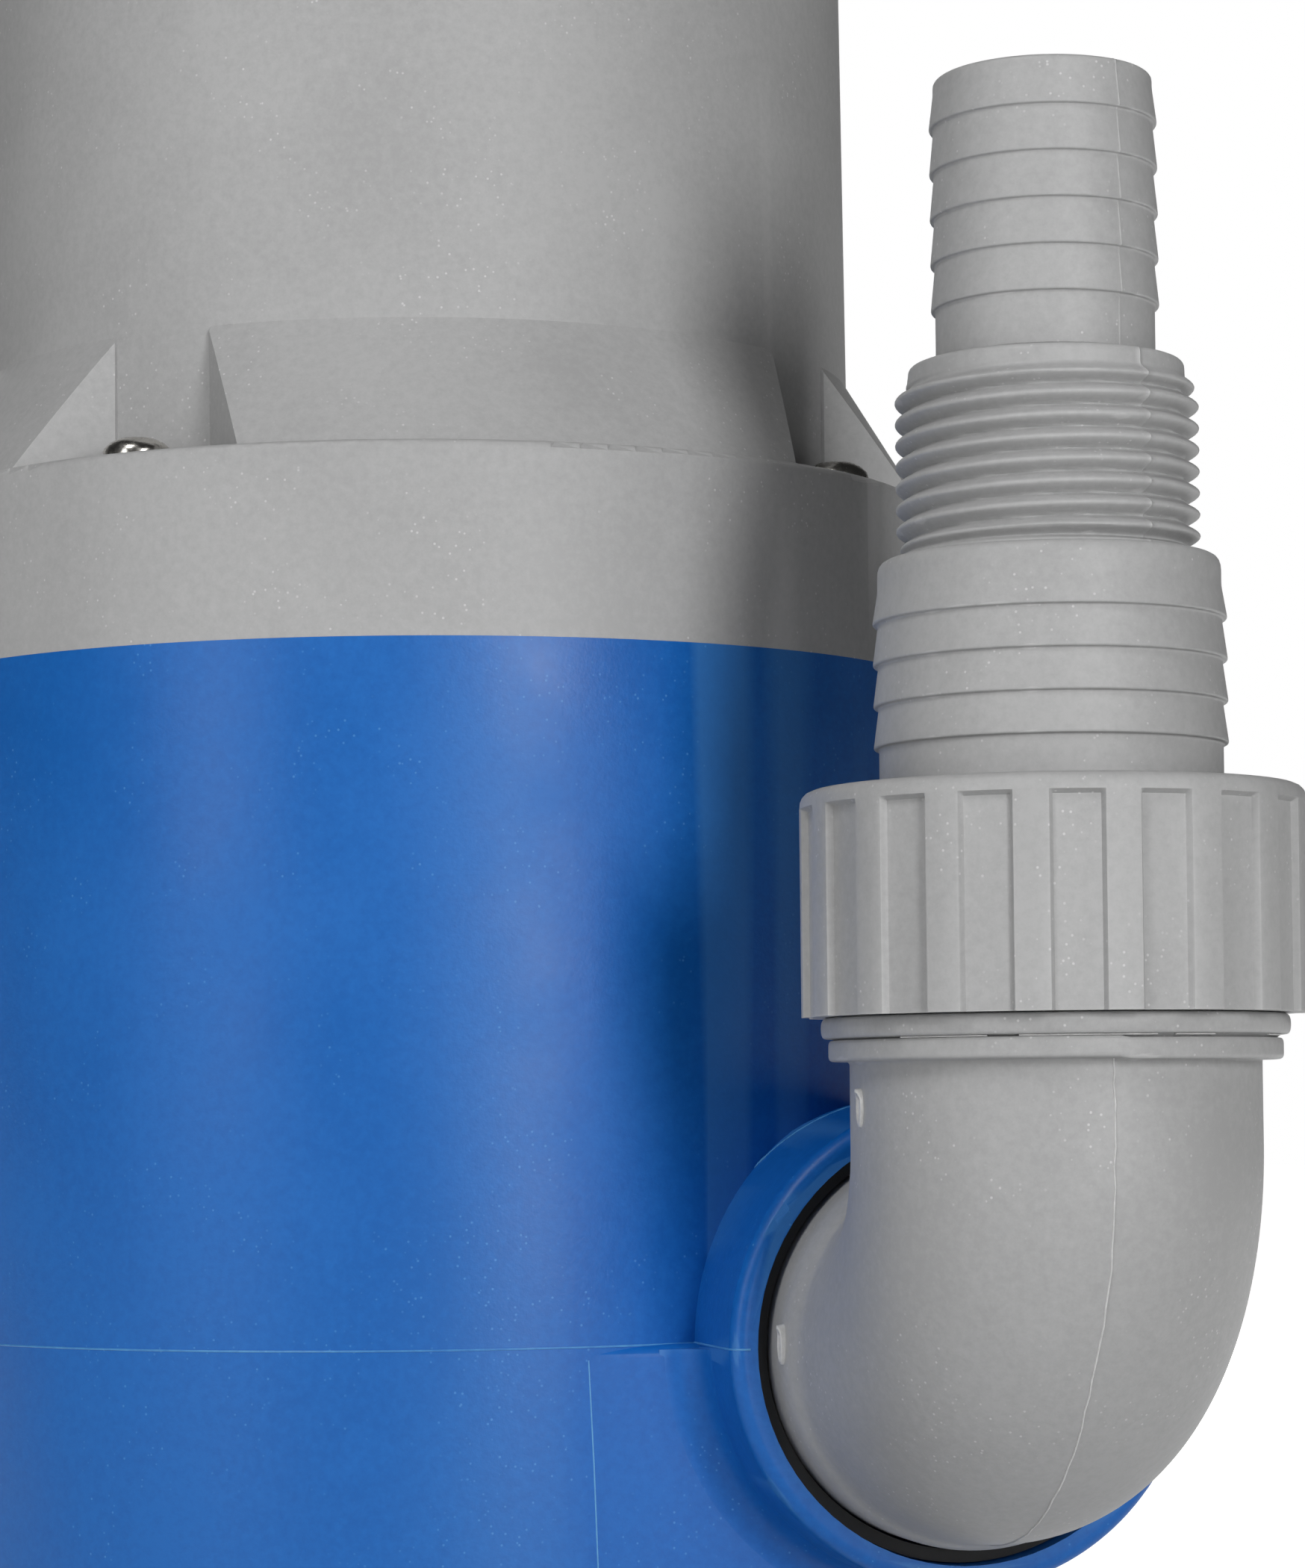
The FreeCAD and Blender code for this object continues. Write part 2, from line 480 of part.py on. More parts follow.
foot_screw = turned("foot_screw", [
    ("0", "foot_plate - screw_head_height"), ("screw_crown", "foot_plate - screw_head_height"),
    ("screw_head", "foot_plate - screw_head_height / 2"), ("screw_head", "foot_plate"),
    ("screw_radius", "foot_plate"), ("screw_radius", "foot_plate + foot_screw_length"),
    ("0", "foot_plate + foot_screw_length")], "foot_screw_circle")
node("foot_screws", around("foot_screw_set", foot_screw, "screw_count", 45))

# Chamber cover: the disc with the suction eye, clamped under the volute by the foot's spigot.
node("suction_cover", less(
    "cover_notched", turned("suction_disc", [
        ("suction_funnel", "spigot_top"), ("casing_bore - fit_gap", "spigot_top"),
        ("casing_bore - fit_gap", "chamber_bottom"), ("suction_eye", "chamber_bottom"),
        ("suction_eye", "funnel_top")]),
    around("cover_boss_rooms", rod("cover_boss_room", "foot_pillar_radius + fit_gap",
                                   "chamber_bottom - spigot_top", "foot_screw_circle", z="spigot_top"),
           "screw_count", 45)))

# Lower bearing shield: an aluminium plate that carries the lower bearing and both shaft seals.
node("lower_bearing_shield", turned("lower_shield", [
    ("seal_seat_radius", "chamber_top"), ("shield_spigot", "chamber_top"), ("shield_spigot", "ledge_top"),
    ("shield_seal_radius - shield_seal_section", "ledge_top"),
    ("shield_seal_radius - shield_seal_section", "ledge_top + 2 * shield_seal_section"),
    ("shield_seal_radius + shield_seal_section", "ledge_top + 2 * shield_seal_section"),
    ("shield_seal_radius + shield_seal_section", "ledge_top"), ("casing_bore - fit_gap", "ledge_top"),
    ("casing_bore - fit_gap", "shield_top"), ("shield_hub", "shield_top"), ("shield_hub", "shield_hub_top"),
    ("bearing_radius", "shield_hub_top"), ("bearing_radius", "bearing_bottom"),
    ("shaft_opening", "bearing_bottom"), ("shaft_opening", "lip_seal_top"),
    ("lip_seal_radius", "lip_seal_top"),
    ("lip_seal_radius", "seal_seat_top"), ("seal_seat_radius", "seal_seat_top")]))
node("shield_seal", hoop("shield_seal_ring", "shield_seal_radius", "shield_seal_section",
                         z="ledge_top + shield_seal_section"))
node("shaft_seal_seat", ring("seal_seat", "seal_bore", "seal_seat_radius", "seal_seat_bottom",
                             "seal_seat_top"))
node("shaft_lip_seal", ring("lip_seal", "seal_bore", "lip_seal_radius", "seal_seat_top", "lip_seal_top"))
node("shaft_seal_ring", ring("seal_ring", "shaft_radius", "seal_ring_radius", "shroud_top", "seal_ring_top"))


def ball_bearing(name, bottom):
    """A ball bearing as its two races and its ball set."""
    middle = f"{bottom} + bearing_width / 2"
    top = f"{bottom} + bearing_width"
    groove_low = f"{middle} - groove_half"
    groove_high = f"{middle} + groove_half"
    node(f"{name}_outer_race", turned(f"{name}_outer", [
        ("outer_race_bore", bottom), ("bearing_radius", bottom), ("bearing_radius", top),
        ("outer_race_bore", top), ("outer_race_bore", groove_high, "right", "race_groove"),
        ("outer_race_bore", groove_low)]))
    node(f"{name}_inner_race", turned(f"{name}_inner", [
        ("shaft_radius", bottom), ("inner_race_radius", bottom),
        ("inner_race_radius", groove_low, "right", "race_groove"), ("inner_race_radius", groove_high),
        ("inner_race_radius", top), ("shaft_radius", top)]))
    ball = doc.addObject("Part::Sphere", f"{name}_ball")
    ball.setExpression("Radius", bound("ball_radius"))
    put(ball, "ball_circle", z=middle)
    cage = ring(f"{name}_cage", "cage_inside", "cage_outside", f"{middle} - cage_height / 2",
                f"{middle} + cage_height / 2")
    node(f"{name}_balls", joined(f"{name}_ball_set", cage, around(f"{name}_ball_ring", ball, "ball_count")))


ball_bearing("lower_bearing", "bearing_bottom")
ball_bearing("upper_bearing", "upper_bearing_bottom")

# Shaft and impeller: backward-curved vanes hang from a shroud above the suction eye.
node("motor_shaft", turned("shaft", [
    ("0", "shaft_bottom"), ("stud_radius", "shaft_bottom"), ("stud_radius", "hub_bottom"),
    ("shaft_radius", "hub_bottom"), ("shaft_radius", "shaft_top"), ("0", "shaft_top")]))
impeller_hub = ring("hub", "shaft_radius", "impeller_hub", "hub_bottom", "shroud_top")
shroud = ring("shroud", "impeller_hub - margin", "impeller_radius", "shroud_bottom", "shroud_top")
vane_blank = prism("vane_blank", [
    ("vane_root", "0 - vane_half", "left", "vane_curve"), ("vane_tip_x", "vane_tip_y - vane_tip_width"),
    ("vane_tip_x - vane_tip_width", "vane_tip_y", "right", "vane_curve - vane_half"),
    ("vane_root", "vane_half")],
    "vane_bottom", "shroud_bottom - vane_bottom + margin")
node("impeller", joined("impeller_wheel", impeller_hub, shroud,
                        around("vanes", vane_blank, "vane_count")))
node("impeller_washer", ring("washer", "stud_radius", "washer_radius", "washer_bottom", "hub_bottom"))
nut_prism = doc.addObject("Part::Prism", "nut_prism")
nut_prism.Polygon = 6
nut_prism.setExpression("Circumradius", bound("nut_corner"))
nut_prism.setExpression("Height", bound("washer_bottom - nut_bottom"))
put(nut_prism, z="nut_bottom")
node("impeller_nut", less("nut_drilled", nut_prism, rod(
    "nut_thread", "stud_radius", "washer_bottom - nut_bottom", z="nut_bottom")))

# Rotor and stator: the stack on the shaft, and the wound stack pressed into the motor can.
node("rotor_core", ring("rotor_stack", "shaft_radius", "rotor_radius", "rotor_bottom", "rotor_top"))
node("rotor_lower_end_ring", ring("lower_end_ring", "end_ring_bore", "rotor_radius",
                                  "rotor_bottom - end_ring_height", "rotor_bottom"))
node("rotor_upper_end_ring", ring("upper_end_ring", "end_ring_bore", "rotor_radius", "rotor_top",
                                  "rotor_top + end_ring_height"))
stator_slot = block("stator_slot", "slot_end - slot_start", "slot_width", "rotor_top - rotor_bottom",
                    "slot_start", "0 - slot_width / 2", "rotor_bottom")
node("stator_core", less("stator", ring("stator_stack", "stator_bore", "stator_radius", "rotor_bottom",
                                        "rotor_top"), around("stator_slots", stator_slot, "slot_count")))


def winding_head(name, bottom, top):
    """The bundle of end turns above or below the stator stack."""
    return turned(name, [
        ("winding_inside + winding_rounding", bottom),
        ("winding_outside - winding_rounding", bottom, "left", "winding_rounding"),
        ("winding_outside", f"{bottom} + winding_rounding"),
        ("winding_outside", f"{top} - winding_rounding", "left", "winding_rounding"),
        ("winding_outside - winding_rounding", top),
        ("winding_inside + winding_rounding", top, "left", "winding_rounding"),
        ("winding_inside", f"{top} - winding_rounding"),
        ("winding_inside", f"{bottom} + winding_rounding", "left", "winding_rounding")])


coil_side = block(
    "coil_side", "slot_end - winding_inside - coil_gap", "slot_width - 2 * coil_gap",
    "rotor_top - rotor_bottom + 2 * coil_overlap", "winding_inside", "coil_gap - slot_width / 2",
    "rotor_bottom - coil_overlap")
node("stator_winding", joined(
    "winding", winding_head("lower_head", "rotor_bottom - winding_height", "rotor_bottom"),
    winding_head("upper_head", "rotor_top", "rotor_top + winding_height"),
    around("coil_sides", coil_side, "slot_count")))
node("motor_can", ring("can", "stator_radius", "can_radius", "shield_top", "clamp_bottom"))
node("upper_bearing_shield", turned("upper_shield", [
    ("0", "shaft_top + margin"), ("shaft_opening", "shaft_top + margin"),
    ("shaft_opening", "upper_bearing_top"), ("bearing_radius", "upper_bearing_top"),
    ("bearing_radius", "upper_hub_bottom"),
    ("upper_hub", "upper_hub_bottom"), ("upper_hub", "upper_shield_bottom"),
    ("stator_radius", "upper_shield_bottom"), ("stator_radius", "clamp_bottom"),
    ("upper_hub", "clamp_bottom"), ("upper_hub", "upper_hub_top"), ("0", "upper_hub_top")]))
node("run_capacitor", rod("capacitor", "capacitor_radius", "capacitor_height", "0",
                          "0 - capacitor_reach", "clamp_bottom"))
node("capacitor_strap", ring("strap", "capacitor_radius", "capacitor_radius + strap_thickness",
                             "strap_bottom", "strap_bottom + strap_height", "0", "0 - capacitor_reach"))
node("thermal_cutout", block(
    "cutout", "cutout_width", "cutout_length", "cutout_height", "winding_inside + winding_rounding",
    "0 - cutout_length / 2", "rotor_top + winding_height"))

# Elbow: screwed into the boss; a tight bend turns the water up into the threaded riser.
bend_turn = FreeCAD.Rotation(V(0, -1, 0), V(0, 0, -1), V(1, 0, 0), "ZXY")


def bend(name, section):
    """A quarter bend from the riser down into the outlet axis."""
    torus = doc.addObject("Part::Torus", name)
    torus.setExpression("Radius1", bound("elbow_bend"))
    torus.setExpression("Radius2", bound(section))
    torus.Angle3 = 90
    return put(torus, "outlet_offset", "elbow_bend - elbow_reach", "outlet_height + elbow_bend", bend_turn)


riser = {"x": "outlet_offset", "y": "0 - elbow_reach", "z": "outlet_height"}
bend_base = "outlet_height + elbow_bend"
elbow_outside = joined(
    "elbow_outside", bend("bend_skin", "elbow_radius"),
    rod("elbow_riser", "elbow_radius", "riser_top - elbow_bend", "outlet_offset", "0 - elbow_reach",
        bend_base),
    rod("elbow_lower_ring", "lower_ring", "upper_ring_bottom - lower_ring_bottom", "outlet_offset",
        "0 - elbow_reach", "outlet_height + lower_ring_bottom"),
    rod("elbow_upper_ring", "upper_ring", "nut_foot - upper_ring_bottom - turning_gap", "outlet_offset",
        "0 - elbow_reach", "outlet_height + upper_ring_bottom"),
    rod("elbow_riser_thread", "riser_thread", "riser_top - nut_foot + margin", "outlet_offset",
        "0 - elbow_reach", "outlet_height + nut_foot - margin"),
    rod("elbow_leg", "elbow_radius", "elbow_reach - elbow_bend - thread_end", "outlet_offset",
        "0 - thread_end", "outlet_height", FORWARD),
    rod("elbow_collar", "collar_radius", "collar_front - collar_back", "outlet_offset",
        "0 - collar_back", "outlet_height", FORWARD),
    rod("elbow_leg_thread", "elbow_thread", "collar_back - thread_end", "outlet_offset",
        "0 - thread_end", "outlet_height", FORWARD))
node("outlet_elbow", less(
    "elbow_bored", elbow_outside, bend("bend_bore", "elbow_bore"),
    rod("riser_bore", "elbow_bore", "riser_top - elbow_bend", "outlet_offset", "0 - elbow_reach", bend_base),
    rod("leg_bore", "elbow_bore", "elbow_reach - elbow_bend - thread_end", "outlet_offset",
        "0 - thread_end", "outlet_height", FORWARD)))
node("outlet_gasket", less(
    "gasket_ring",
    rod("gasket_disc", "gasket_radius", "collar_back - gasket_gap - outlet_reach + mouth_depth",
        "outlet_offset", "mouth_depth - outlet_reach", "outlet_height", FORWARD),
    rod("gasket_hole", "gasket_bore", "mouth_depth", "outlet_offset", "mouth_depth - outlet_reach",
        "outlet_height", FORWARD)))
node("union_gasket", ring("union_gasket_ring", "union_gasket_bore", "adapter_flange", "riser_top",
                          "union_gasket_top", **riser))

# Union nut: a ribbed cap nut that holds the adapter's flange down on the riser.
nut_cup = turned("nut_cup", [
    ("nut_bore", "nut_foot"), ("nut_rib_radius", "nut_foot"),
    ("nut_rib_radius", "nut_top - nut_rounding", "left", "nut_rounding"),
    ("nut_rib_radius - nut_rounding", "nut_top"), ("nut_rim_bore", "nut_top"), ("nut_rim_bore", "nut_rim_bottom"), ("nut_bore", "nut_rim_bottom")])
nut_slot = block("nut_slot", "nut_rib_radius - nut_groove + margin", "nut_groove_width",
                 "nut_groove_top - nut_foot", "nut_groove", "0 - nut_groove_width / 2", "nut_foot")
nut_cut = less("nut_cut", nut_cup, around("nut_slots", nut_slot, "nut_rib_count"))
node("union_nut", put(nut_cut, **riser))

# Hose adapter: 38 mm hose tail, G1 thread and 25 mm hose tail in one stepped moulding.
profile = [("big_bore", "union_gasket_top + turning_gap"),
           ("adapter_flange", "union_gasket_top + turning_gap"),
           ("adapter_flange", "adapter_flange_top"), ("big_core", "adapter_flange_top")]


def barbs(core, crest, step, pitch, count, land, rounding):
    """Saw-tooth corners from the lowest barb up; the last barb's straight land ends in a rounding."""
    corners = []
    number = int(size(count))
    for index in range(number):
        level = f"{step} + {index} * {pitch}"
        corners += [(core, level), (crest, level)]
    return corners + [(crest, land, "left", rounding)]


profile += barbs("big_core", "big_barb", "big_step", "big_pitch", "big_count", "big_land",
                 "big_top - big_land")
profile += [("big_shoulder", "big_top"), ("thread_root", "big_top"), ("thread_root", "thread_bottom"),
            ("thread_radius", "thread_bottom"), ("thread_radius", "thread_top"),
            ("thread_ring", "thread_top"), ("thread_ring", "thread_ring_top"),
            ("small_core", "thread_ring_top")]
profile += barbs("small_core", "small_barb", "small_step", "small_pitch", "small_count", "small_land",
                 "adapter_top - small_land")
profile += [("adapter_tip", "adapter_top"), ("small_bore", "adapter_top"),
            ("small_bore", "small_bore_bottom"), ("big_bore", "big_bore_top")]
node("hose_adapter", turned("adapter", profile, **riser))

doc.recompute()
failed = [item.Name for item in doc.Objects if "Invalid" in item.State or "Error" in item.State]
if failed:
    raise RuntimeError(f"objects that did not compute: {failed}")
os.makedirs("parts", exist_ok=True)
for piece in nodes:
    shape = piece.Shape
    if shape.isNull() or not shape.isValid() or not shape.Solids:
        raise RuntimeError(f"{piece.Label} has no valid solid")
    shape.exportStep(f"parts/{piece.Label}.step")
    box = shape.BoundBox
    print(f"{piece.Label:24s} solids {len(shape.Solids)} volume {shape.Volume / 1000:8.2f} cm3 "
          f"z {box.ZMin:.1f}..{box.ZMax:.1f}")
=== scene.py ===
import math

import bmesh
import bpy
from mathutils import Matrix, Vector


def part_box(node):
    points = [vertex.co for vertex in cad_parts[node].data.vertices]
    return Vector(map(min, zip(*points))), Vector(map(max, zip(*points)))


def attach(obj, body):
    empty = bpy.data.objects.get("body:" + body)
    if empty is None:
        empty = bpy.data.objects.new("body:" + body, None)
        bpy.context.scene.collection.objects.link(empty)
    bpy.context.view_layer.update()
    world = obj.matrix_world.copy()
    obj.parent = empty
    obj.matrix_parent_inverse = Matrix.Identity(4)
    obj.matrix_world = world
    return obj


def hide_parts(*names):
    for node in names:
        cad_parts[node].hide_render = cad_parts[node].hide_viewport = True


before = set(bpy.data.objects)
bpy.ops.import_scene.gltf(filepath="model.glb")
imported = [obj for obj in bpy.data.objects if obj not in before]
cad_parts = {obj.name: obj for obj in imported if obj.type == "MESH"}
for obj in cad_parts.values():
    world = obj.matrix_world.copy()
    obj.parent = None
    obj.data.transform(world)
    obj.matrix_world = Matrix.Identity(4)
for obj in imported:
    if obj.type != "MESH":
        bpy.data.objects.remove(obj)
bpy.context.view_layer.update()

# Submersible sump pump. Metres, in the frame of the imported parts; sizes are written in
# millimetres and turned into metres with MM.
MM = 0.001


# Studio: a pale floor, a white room behind the pump and a dark one in front of it, and four soft
# boxes: two to the left of the camera, one to its right and one behind the pump.
# The camera stands half a metre off, a little left of the outlet. The photograph is part of a larger
# picture, which the lens's small shift stands for.
CAMERA_PLACE = Vector((-114.9, -518.7, 88.5)) * MM
CAMERA_AZIMUTH = 15.65
CAMERA_PITCH = 1.954
CAMERA_ROLL = 0.58
CAMERA_LENS = 92.13
CAMERA_SHIFT = (0.0063, 0.1143)
FLOOR_HALF = 4.0
FLOOR_COLOUR = (0.82, 0.82, 0.81)
FLOOR_LIFT_NEAR = 0.62
FLOOR_LIFT_FAR = 1.0
FLOOR_SHADE_REACH = (0.10, 0.27)
ROOM_LEVEL = 0.012
ROOM_FRONT = 0.02
ROOM_BACK = 0.30
ROOM_WHITE_FROM = (0.55, 0.95)
BOX_AIM = Vector((20.0, -50.0, 130.0)) * MM
BOX_DISTANCE = 0.95
BOX_TALL = 0.42
BOXES = ({"bearing": 58.0, "rise": 10.0, "wide": 0.18, "power": 1.6},
         {"bearing": 46.0, "rise": 45.0, "wide": 0.20, "power": 2.8},
         {"bearing": -10.0, "rise": 11.0, "wide": 0.20, "power": 4.7},
         {"bearing": 186.0, "rise": 20.0, "wide": 0.60, "power": 4.0})


def node(tree, kind, inputs=None, **settings):
    """A node of a tree; an input is a value, or the output socket that feeds it."""
    made = tree.nodes.new(kind)
    for name, value in settings.items():
        setattr(made, name, value)
    for name, value in (inputs or {}).items():
        if isinstance(value, bpy.types.NodeSocket):
            tree.links.new(value, made.inputs[name])
        else:
            made.inputs[name].default_value = value
    return made


def math_of(tree, operation, first, second=0.0, clamp=False):
    """The output of a Math node."""
    return node(tree, "ShaderNodeMath", {0: first, 1: second}, operation=operation,
                use_clamp=clamp).outputs[0]


def emptied(tree):
    tree.nodes.clear()
    return tree


scene = bpy.context.scene
scene.view_settings.view_transform = "Standard"

camera = bpy.data.objects.new("studio_camera", bpy.data.cameras.new("studio_camera"))
camera.data.lens = CAMERA_LENS
camera.data.shift_x, camera.data.shift_y = CAMERA_SHIFT
camera.matrix_world = (Matrix.Translation(CAMERA_PLACE)
                       @ Matrix.Rotation(math.radians(-CAMERA_AZIMUTH), 4, "Z")
                       @ Matrix.Rotation(math.radians(90 + CAMERA_PITCH), 4, "X")
                       @ Matrix.Rotation(math.radians(-CAMERA_ROLL), 4, "Z"))
scene.collection.objects.link(camera)
scene.camera = camera

for number, box in enumerate(BOXES, start=1):
    lamp = bpy.data.lights.new(f"soft_box_{number}", "AREA")
    lamp.shape = "RECTANGLE"
    lamp.size = box["wide"]
    lamp.size_y = BOX_TALL
    lamp.energy = box["power"]
    soft_box = bpy.data.objects.new(lamp.name, lamp)
    soft_box.matrix_world = (Matrix.Translation(BOX_AIM)
                             @ Matrix.Rotation(math.radians(-box["bearing"]), 4, "Z")
                             @ Matrix.Rotation(math.radians(90 - box["rise"]), 4, "X")
                             @ Matrix.Translation((0, 0, BOX_DISTANCE)))
    scene.collection.objects.link(soft_box)

room = bpy.data.worlds.new("white_room")
scene.world = room
room.use_nodes = True
tree = emptied(room.node_tree)
rays = node(tree, "ShaderNodeLightPath")
direction = node(tree, "ShaderNodeTexCoord")
across = node(tree, "ShaderNodeSeparateXYZ", {0: direction.outputs["Generated"]})
mirrored = node(tree, "ShaderNodeMapRange", {
    "Value": across.outputs["Y"], "From Min": ROOM_WHITE_FROM[0], "From Max": ROOM_WHITE_FROM[1],
    "To Min": ROOM_FRONT, "To Max": ROOM_BACK})
seen = math_of(tree, "ADD", rays.outputs["Is Camera Ray"], rays.outputs["Is Transmission Ray"], True)
shown = math_of(tree, "MAXIMUM", seen, math_of(
    tree, "MULTIPLY", rays.outputs["Is Glossy Ray"], mirrored.outputs["Result"]))
level = math_of(tree, "MAXIMUM", shown, ROOM_LEVEL)
background = node(tree, "ShaderNodeBackground", {"Color": (1, 1, 1, 1), "Strength": level})
node(tree, "ShaderNodeOutputWorld", {"Surface": background.outputs[0]})

floor_mesh = bpy.data.meshes.new("studio_floor")
floor_mesh.from_pydata([(x * FLOOR_HALF, y * FLOOR_HALF, 0) for x, y in ((-1, -1), (1, -1), (1, 1), (-1, 1))],
                       [], [(0, 1, 2, 3)])
floor = bpy.data.objects.new("studio_floor", floor_mesh)
scene.collection.objects.link(floor)
floor_paint = bpy.data.materials.new("studio_floor")
floor_paint.use_nodes = True
tree = emptied(floor_paint.node_tree)
rays = node(tree, "ShaderNodeLightPath")
paint = node(tree, "ShaderNodeBsdfDiffuse", {"Color": (*FLOOR_COLOUR, 1)})
direct = math_of(tree, "ADD", rays.outputs["Is Camera Ray"], rays.outputs["Is Glossy Ray"])
seen = math_of(tree, "ADD", direct, rays.outputs["Is Transmission Ray"], True)
spot = node(tree, "ShaderNodeVectorMath", {0: node(tree, "ShaderNodeTexCoord").outputs["Object"]},
            operation="LENGTH").outputs["Value"]
fading = node(tree, "ShaderNodeMapRange", {
    "Value": spot, "From Min": FLOOR_SHADE_REACH[0], "From Max": FLOOR_SHADE_REACH[1],
    "To Min": FLOOR_LIFT_NEAR, "To Max": FLOOR_LIFT_FAR})
glow = math_of(tree, "MULTIPLY", seen, fading.outputs["Result"])
lift = node(tree, "ShaderNodeEmission", {"Strength": glow})
both = node(tree, "ShaderNodeAddShader", {0: paint.outputs[0], 1: lift.outputs[0]})
node(tree, "ShaderNodeOutputMaterial", {"Surface": both.outputs[0]})
floor_mesh.materials.append(floor_paint)


# Casing: one polypropylene moulding dyed blue, with a fine orange-peel skin that the mould gave it.
# The mould's halves meet in a low ridge at the outlet's height; a second ridge runs down beside the boss.
BLUE = (0.005, 0.122, 0.455)
BLUE_DEEP = (0.002, 0.098, 0.395)
BLUE_PALE = (0.080, 0.270, 0.600)
TONE_SCALE = 34.0
MOTTLE_SHARE = 0.55
MOTTLE_GRAIN = 0.4
PATCH_SCALE = 95.0
SPECK_SCALE = 950.0
CASING_EDGE = 0.9 * MM
CASING_RADIUS = 68.0
BOSS_AXIS = Vector((46.5, 0.0, 60.0))
BOSS_RADIUS = 28.6
BOSS_ROOT_RADIUS = 19.8
BOSS_ROOT_LENGTH = 60.0
BOSS_SLOPE = (BOSS_RADIUS - BOSS_ROOT_RADIUS) / BOSS_ROOT_LENGTH
BOSS_FACE = 81.0
BOSS_MOUTH = 25.6
BOSS_ROUNDING = 1.8
PAD_FRONT = 67.87
PAD_CORNER = (44.0, -49.87, 0.0)
PAD_CORNER_RADIUS = 18.0
CASING_FOOT = 28.0


def new_material(name):
    """A material and its empty tree."""
    made = bpy.data.materials.new(name)
    made.use_nodes = True
    return made, emptied(made.node_tree)


def blend(tree, share, first, second):
    """The output of a Mix node between two colours; each is three numbers or a socket."""
    ends = [end if isinstance(end, bpy.types.NodeSocket) else (*end, 1) for end in (first, second)]
    return node(tree, "ShaderNodeMix", {0: share, 6: ends[0], 7: ends[1]}, data_type="RGBA").outputs[2]


def surfaced(tree, colour, roughness, marks, depth, more):
    """The end of a material: relief from the marks, then the shader and the output."""
    bump = node(tree, "ShaderNodeBump", {"Strength": 1.0, "Distance": depth, "Height": marks})
    surface = node(tree, "ShaderNodeBsdfPrincipled", {
        "Base Color": colour, "Roughness": roughness, "Normal": bump.outputs[0], **more})
    node(tree, "ShaderNodeOutputMaterial", {"Surface": surface.outputs[0]})


def moulded(name, colour, deep, pale, roughness, grain, rise, sheen_band=0.06, flecks=0.0, specular=0.5):
    """A moulded plastic: grain in the skin, slow changes of tone and shine, sharp edges made paler as a
    painted highlight, and specks.
    """
    material, tree = new_material(name)
    place = node(tree, "ShaderNodeTexCoord").outputs["Object"]
    slow = node(tree, "ShaderNodeTexNoise", {"Vector": place, "Scale": TONE_SCALE, "Detail": 4.0,
                                            "Roughness": 0.6})
    skin = node(tree, "ShaderNodeTexNoise", {"Vector": place, "Scale": grain, "Detail": 3.0,
                                            "Roughness": 0.55})
    mottle = node(tree, "ShaderNodeTexNoise", {"Vector": place, "Scale": grain * MOTTLE_GRAIN,
                                              "Detail": 5.0, "Roughness": 0.7})
    mixed = node(tree, "ShaderNodeMix", {0: MOTTLE_SHARE, 2: slow.outputs[0], 3: mottle.outputs[0]})
    tone = node(tree, "ShaderNodeMapRange", {"Value": mixed.outputs[0], "From Min": 0.40, "From Max": 0.60})
    body = blend(tree, tone.outputs["Result"], deep, colour)
    # Painted highlight: the sharp convex edges, found by their pointiness, are blended towards the pale
    # colour.
    edge_highlight_share = node(tree, "ShaderNodeMapRange", {
        "Value": node(tree, "ShaderNodeNewGeometry").outputs["Pointiness"],
        "From Min": 0.52, "From Max": 0.60, "To Max": 0.35})
    edged = blend(tree, edge_highlight_share.outputs["Result"], body, pale)
    dust = node(tree, "ShaderNodeTexVoronoi", {"Vector": place, "Scale": SPECK_SCALE})
    speck = node(tree, "ShaderNodeMapRange", {
        "Value": dust.outputs["Distance"], "From Min": 0.17, "From Max": 0.09, "To Max": flecks})
    patch = node(tree, "ShaderNodeTexNoise", {"Vector": place, "Scale": PATCH_SCALE, "Detail": 2.0})
    dusty = node(tree, "ShaderNodeMapRange", {"Value": patch.outputs[0], "From Min": 0.50, "From Max": 0.62})
    flecked = blend(tree, math_of(tree, "MULTIPLY", speck.outputs["Result"], dusty.outputs["Result"]),
                    edged, pale)
    shine = node(tree, "ShaderNodeMapRange", {
        "Value": slow.outputs[0], "From Min": 0.3, "From Max": 0.7,
        "To Min": roughness - sheen_band, "To Max": roughness + sheen_band})
    surfaced(tree, flecked, shine.outputs["Result"], skin.outputs[0], rise, {"Specular IOR Level": specular})
    return material


def shaded(mesh, angle=32.0):
    """Smooth shading that breaks at the edges sharper than the angle."""
    mesh.shade_smooth()
    mesh.set_sharp_from_angle(angle=math.radians(angle))


def applied(piece, modifier):
    """Give a piece the mesh that its modifier makes, and take the modifier off."""
    bpy.context.view_layer.update()
    evaluated = piece.evaluated_get(bpy.context.evaluated_depsgraph_get())
    mesh = bpy.data.meshes.new_from_object(evaluated)
    piece.modifiers.remove(modifier)
    piece.data = mesh
    return mesh


def evened(piece):
    """Let the large faces of a piece set its shading, so that its rounded edges blend between them."""
    modifier = piece.modifiers.new("evened", "WEIGHTED_NORMAL")
    modifier.mode = "FACE_AREA"
    modifier.weight = 100
    modifier.keep_sharp = True
    return applied(piece, modifier)


def turned_face(start, along, radius, slope=0.0):
    """A round surface about an axis, in millimetres: how far off it a point is, and which way it faces."""
    start, along = Vector(start), Vector(along)

    def measure(point):
        offset = point - start
        run = offset.dot(along)
        flat = offset - along * run
        gap = flat.length - radius - slope * run
        return gap, (flat.normalized() - along * slope).normalized()
    return measure


def trued(piece, surfaces, reach=0.06, agree=0.985):
    """Give the corners of the round faces their surface's own direction, so that long facets shade as one."""
    mesh = piece.data
    normals = [corner.vector.copy() for corner in mesh.corner_normals]
    for face in mesh.polygons:
        for loop in face.loop_indices:
            point = mesh.vertices[mesh.loops[loop].vertex_index].co / MM
            for surface in surfaces:
                gap, away = surface(point)
                lean = away.dot(face.normal)
                if abs(gap) < reach and abs(lean) > agree:
                    normals[loop] = away if lean > 0 else -away
                    break
    mesh.normals_split_custom_set(normals)


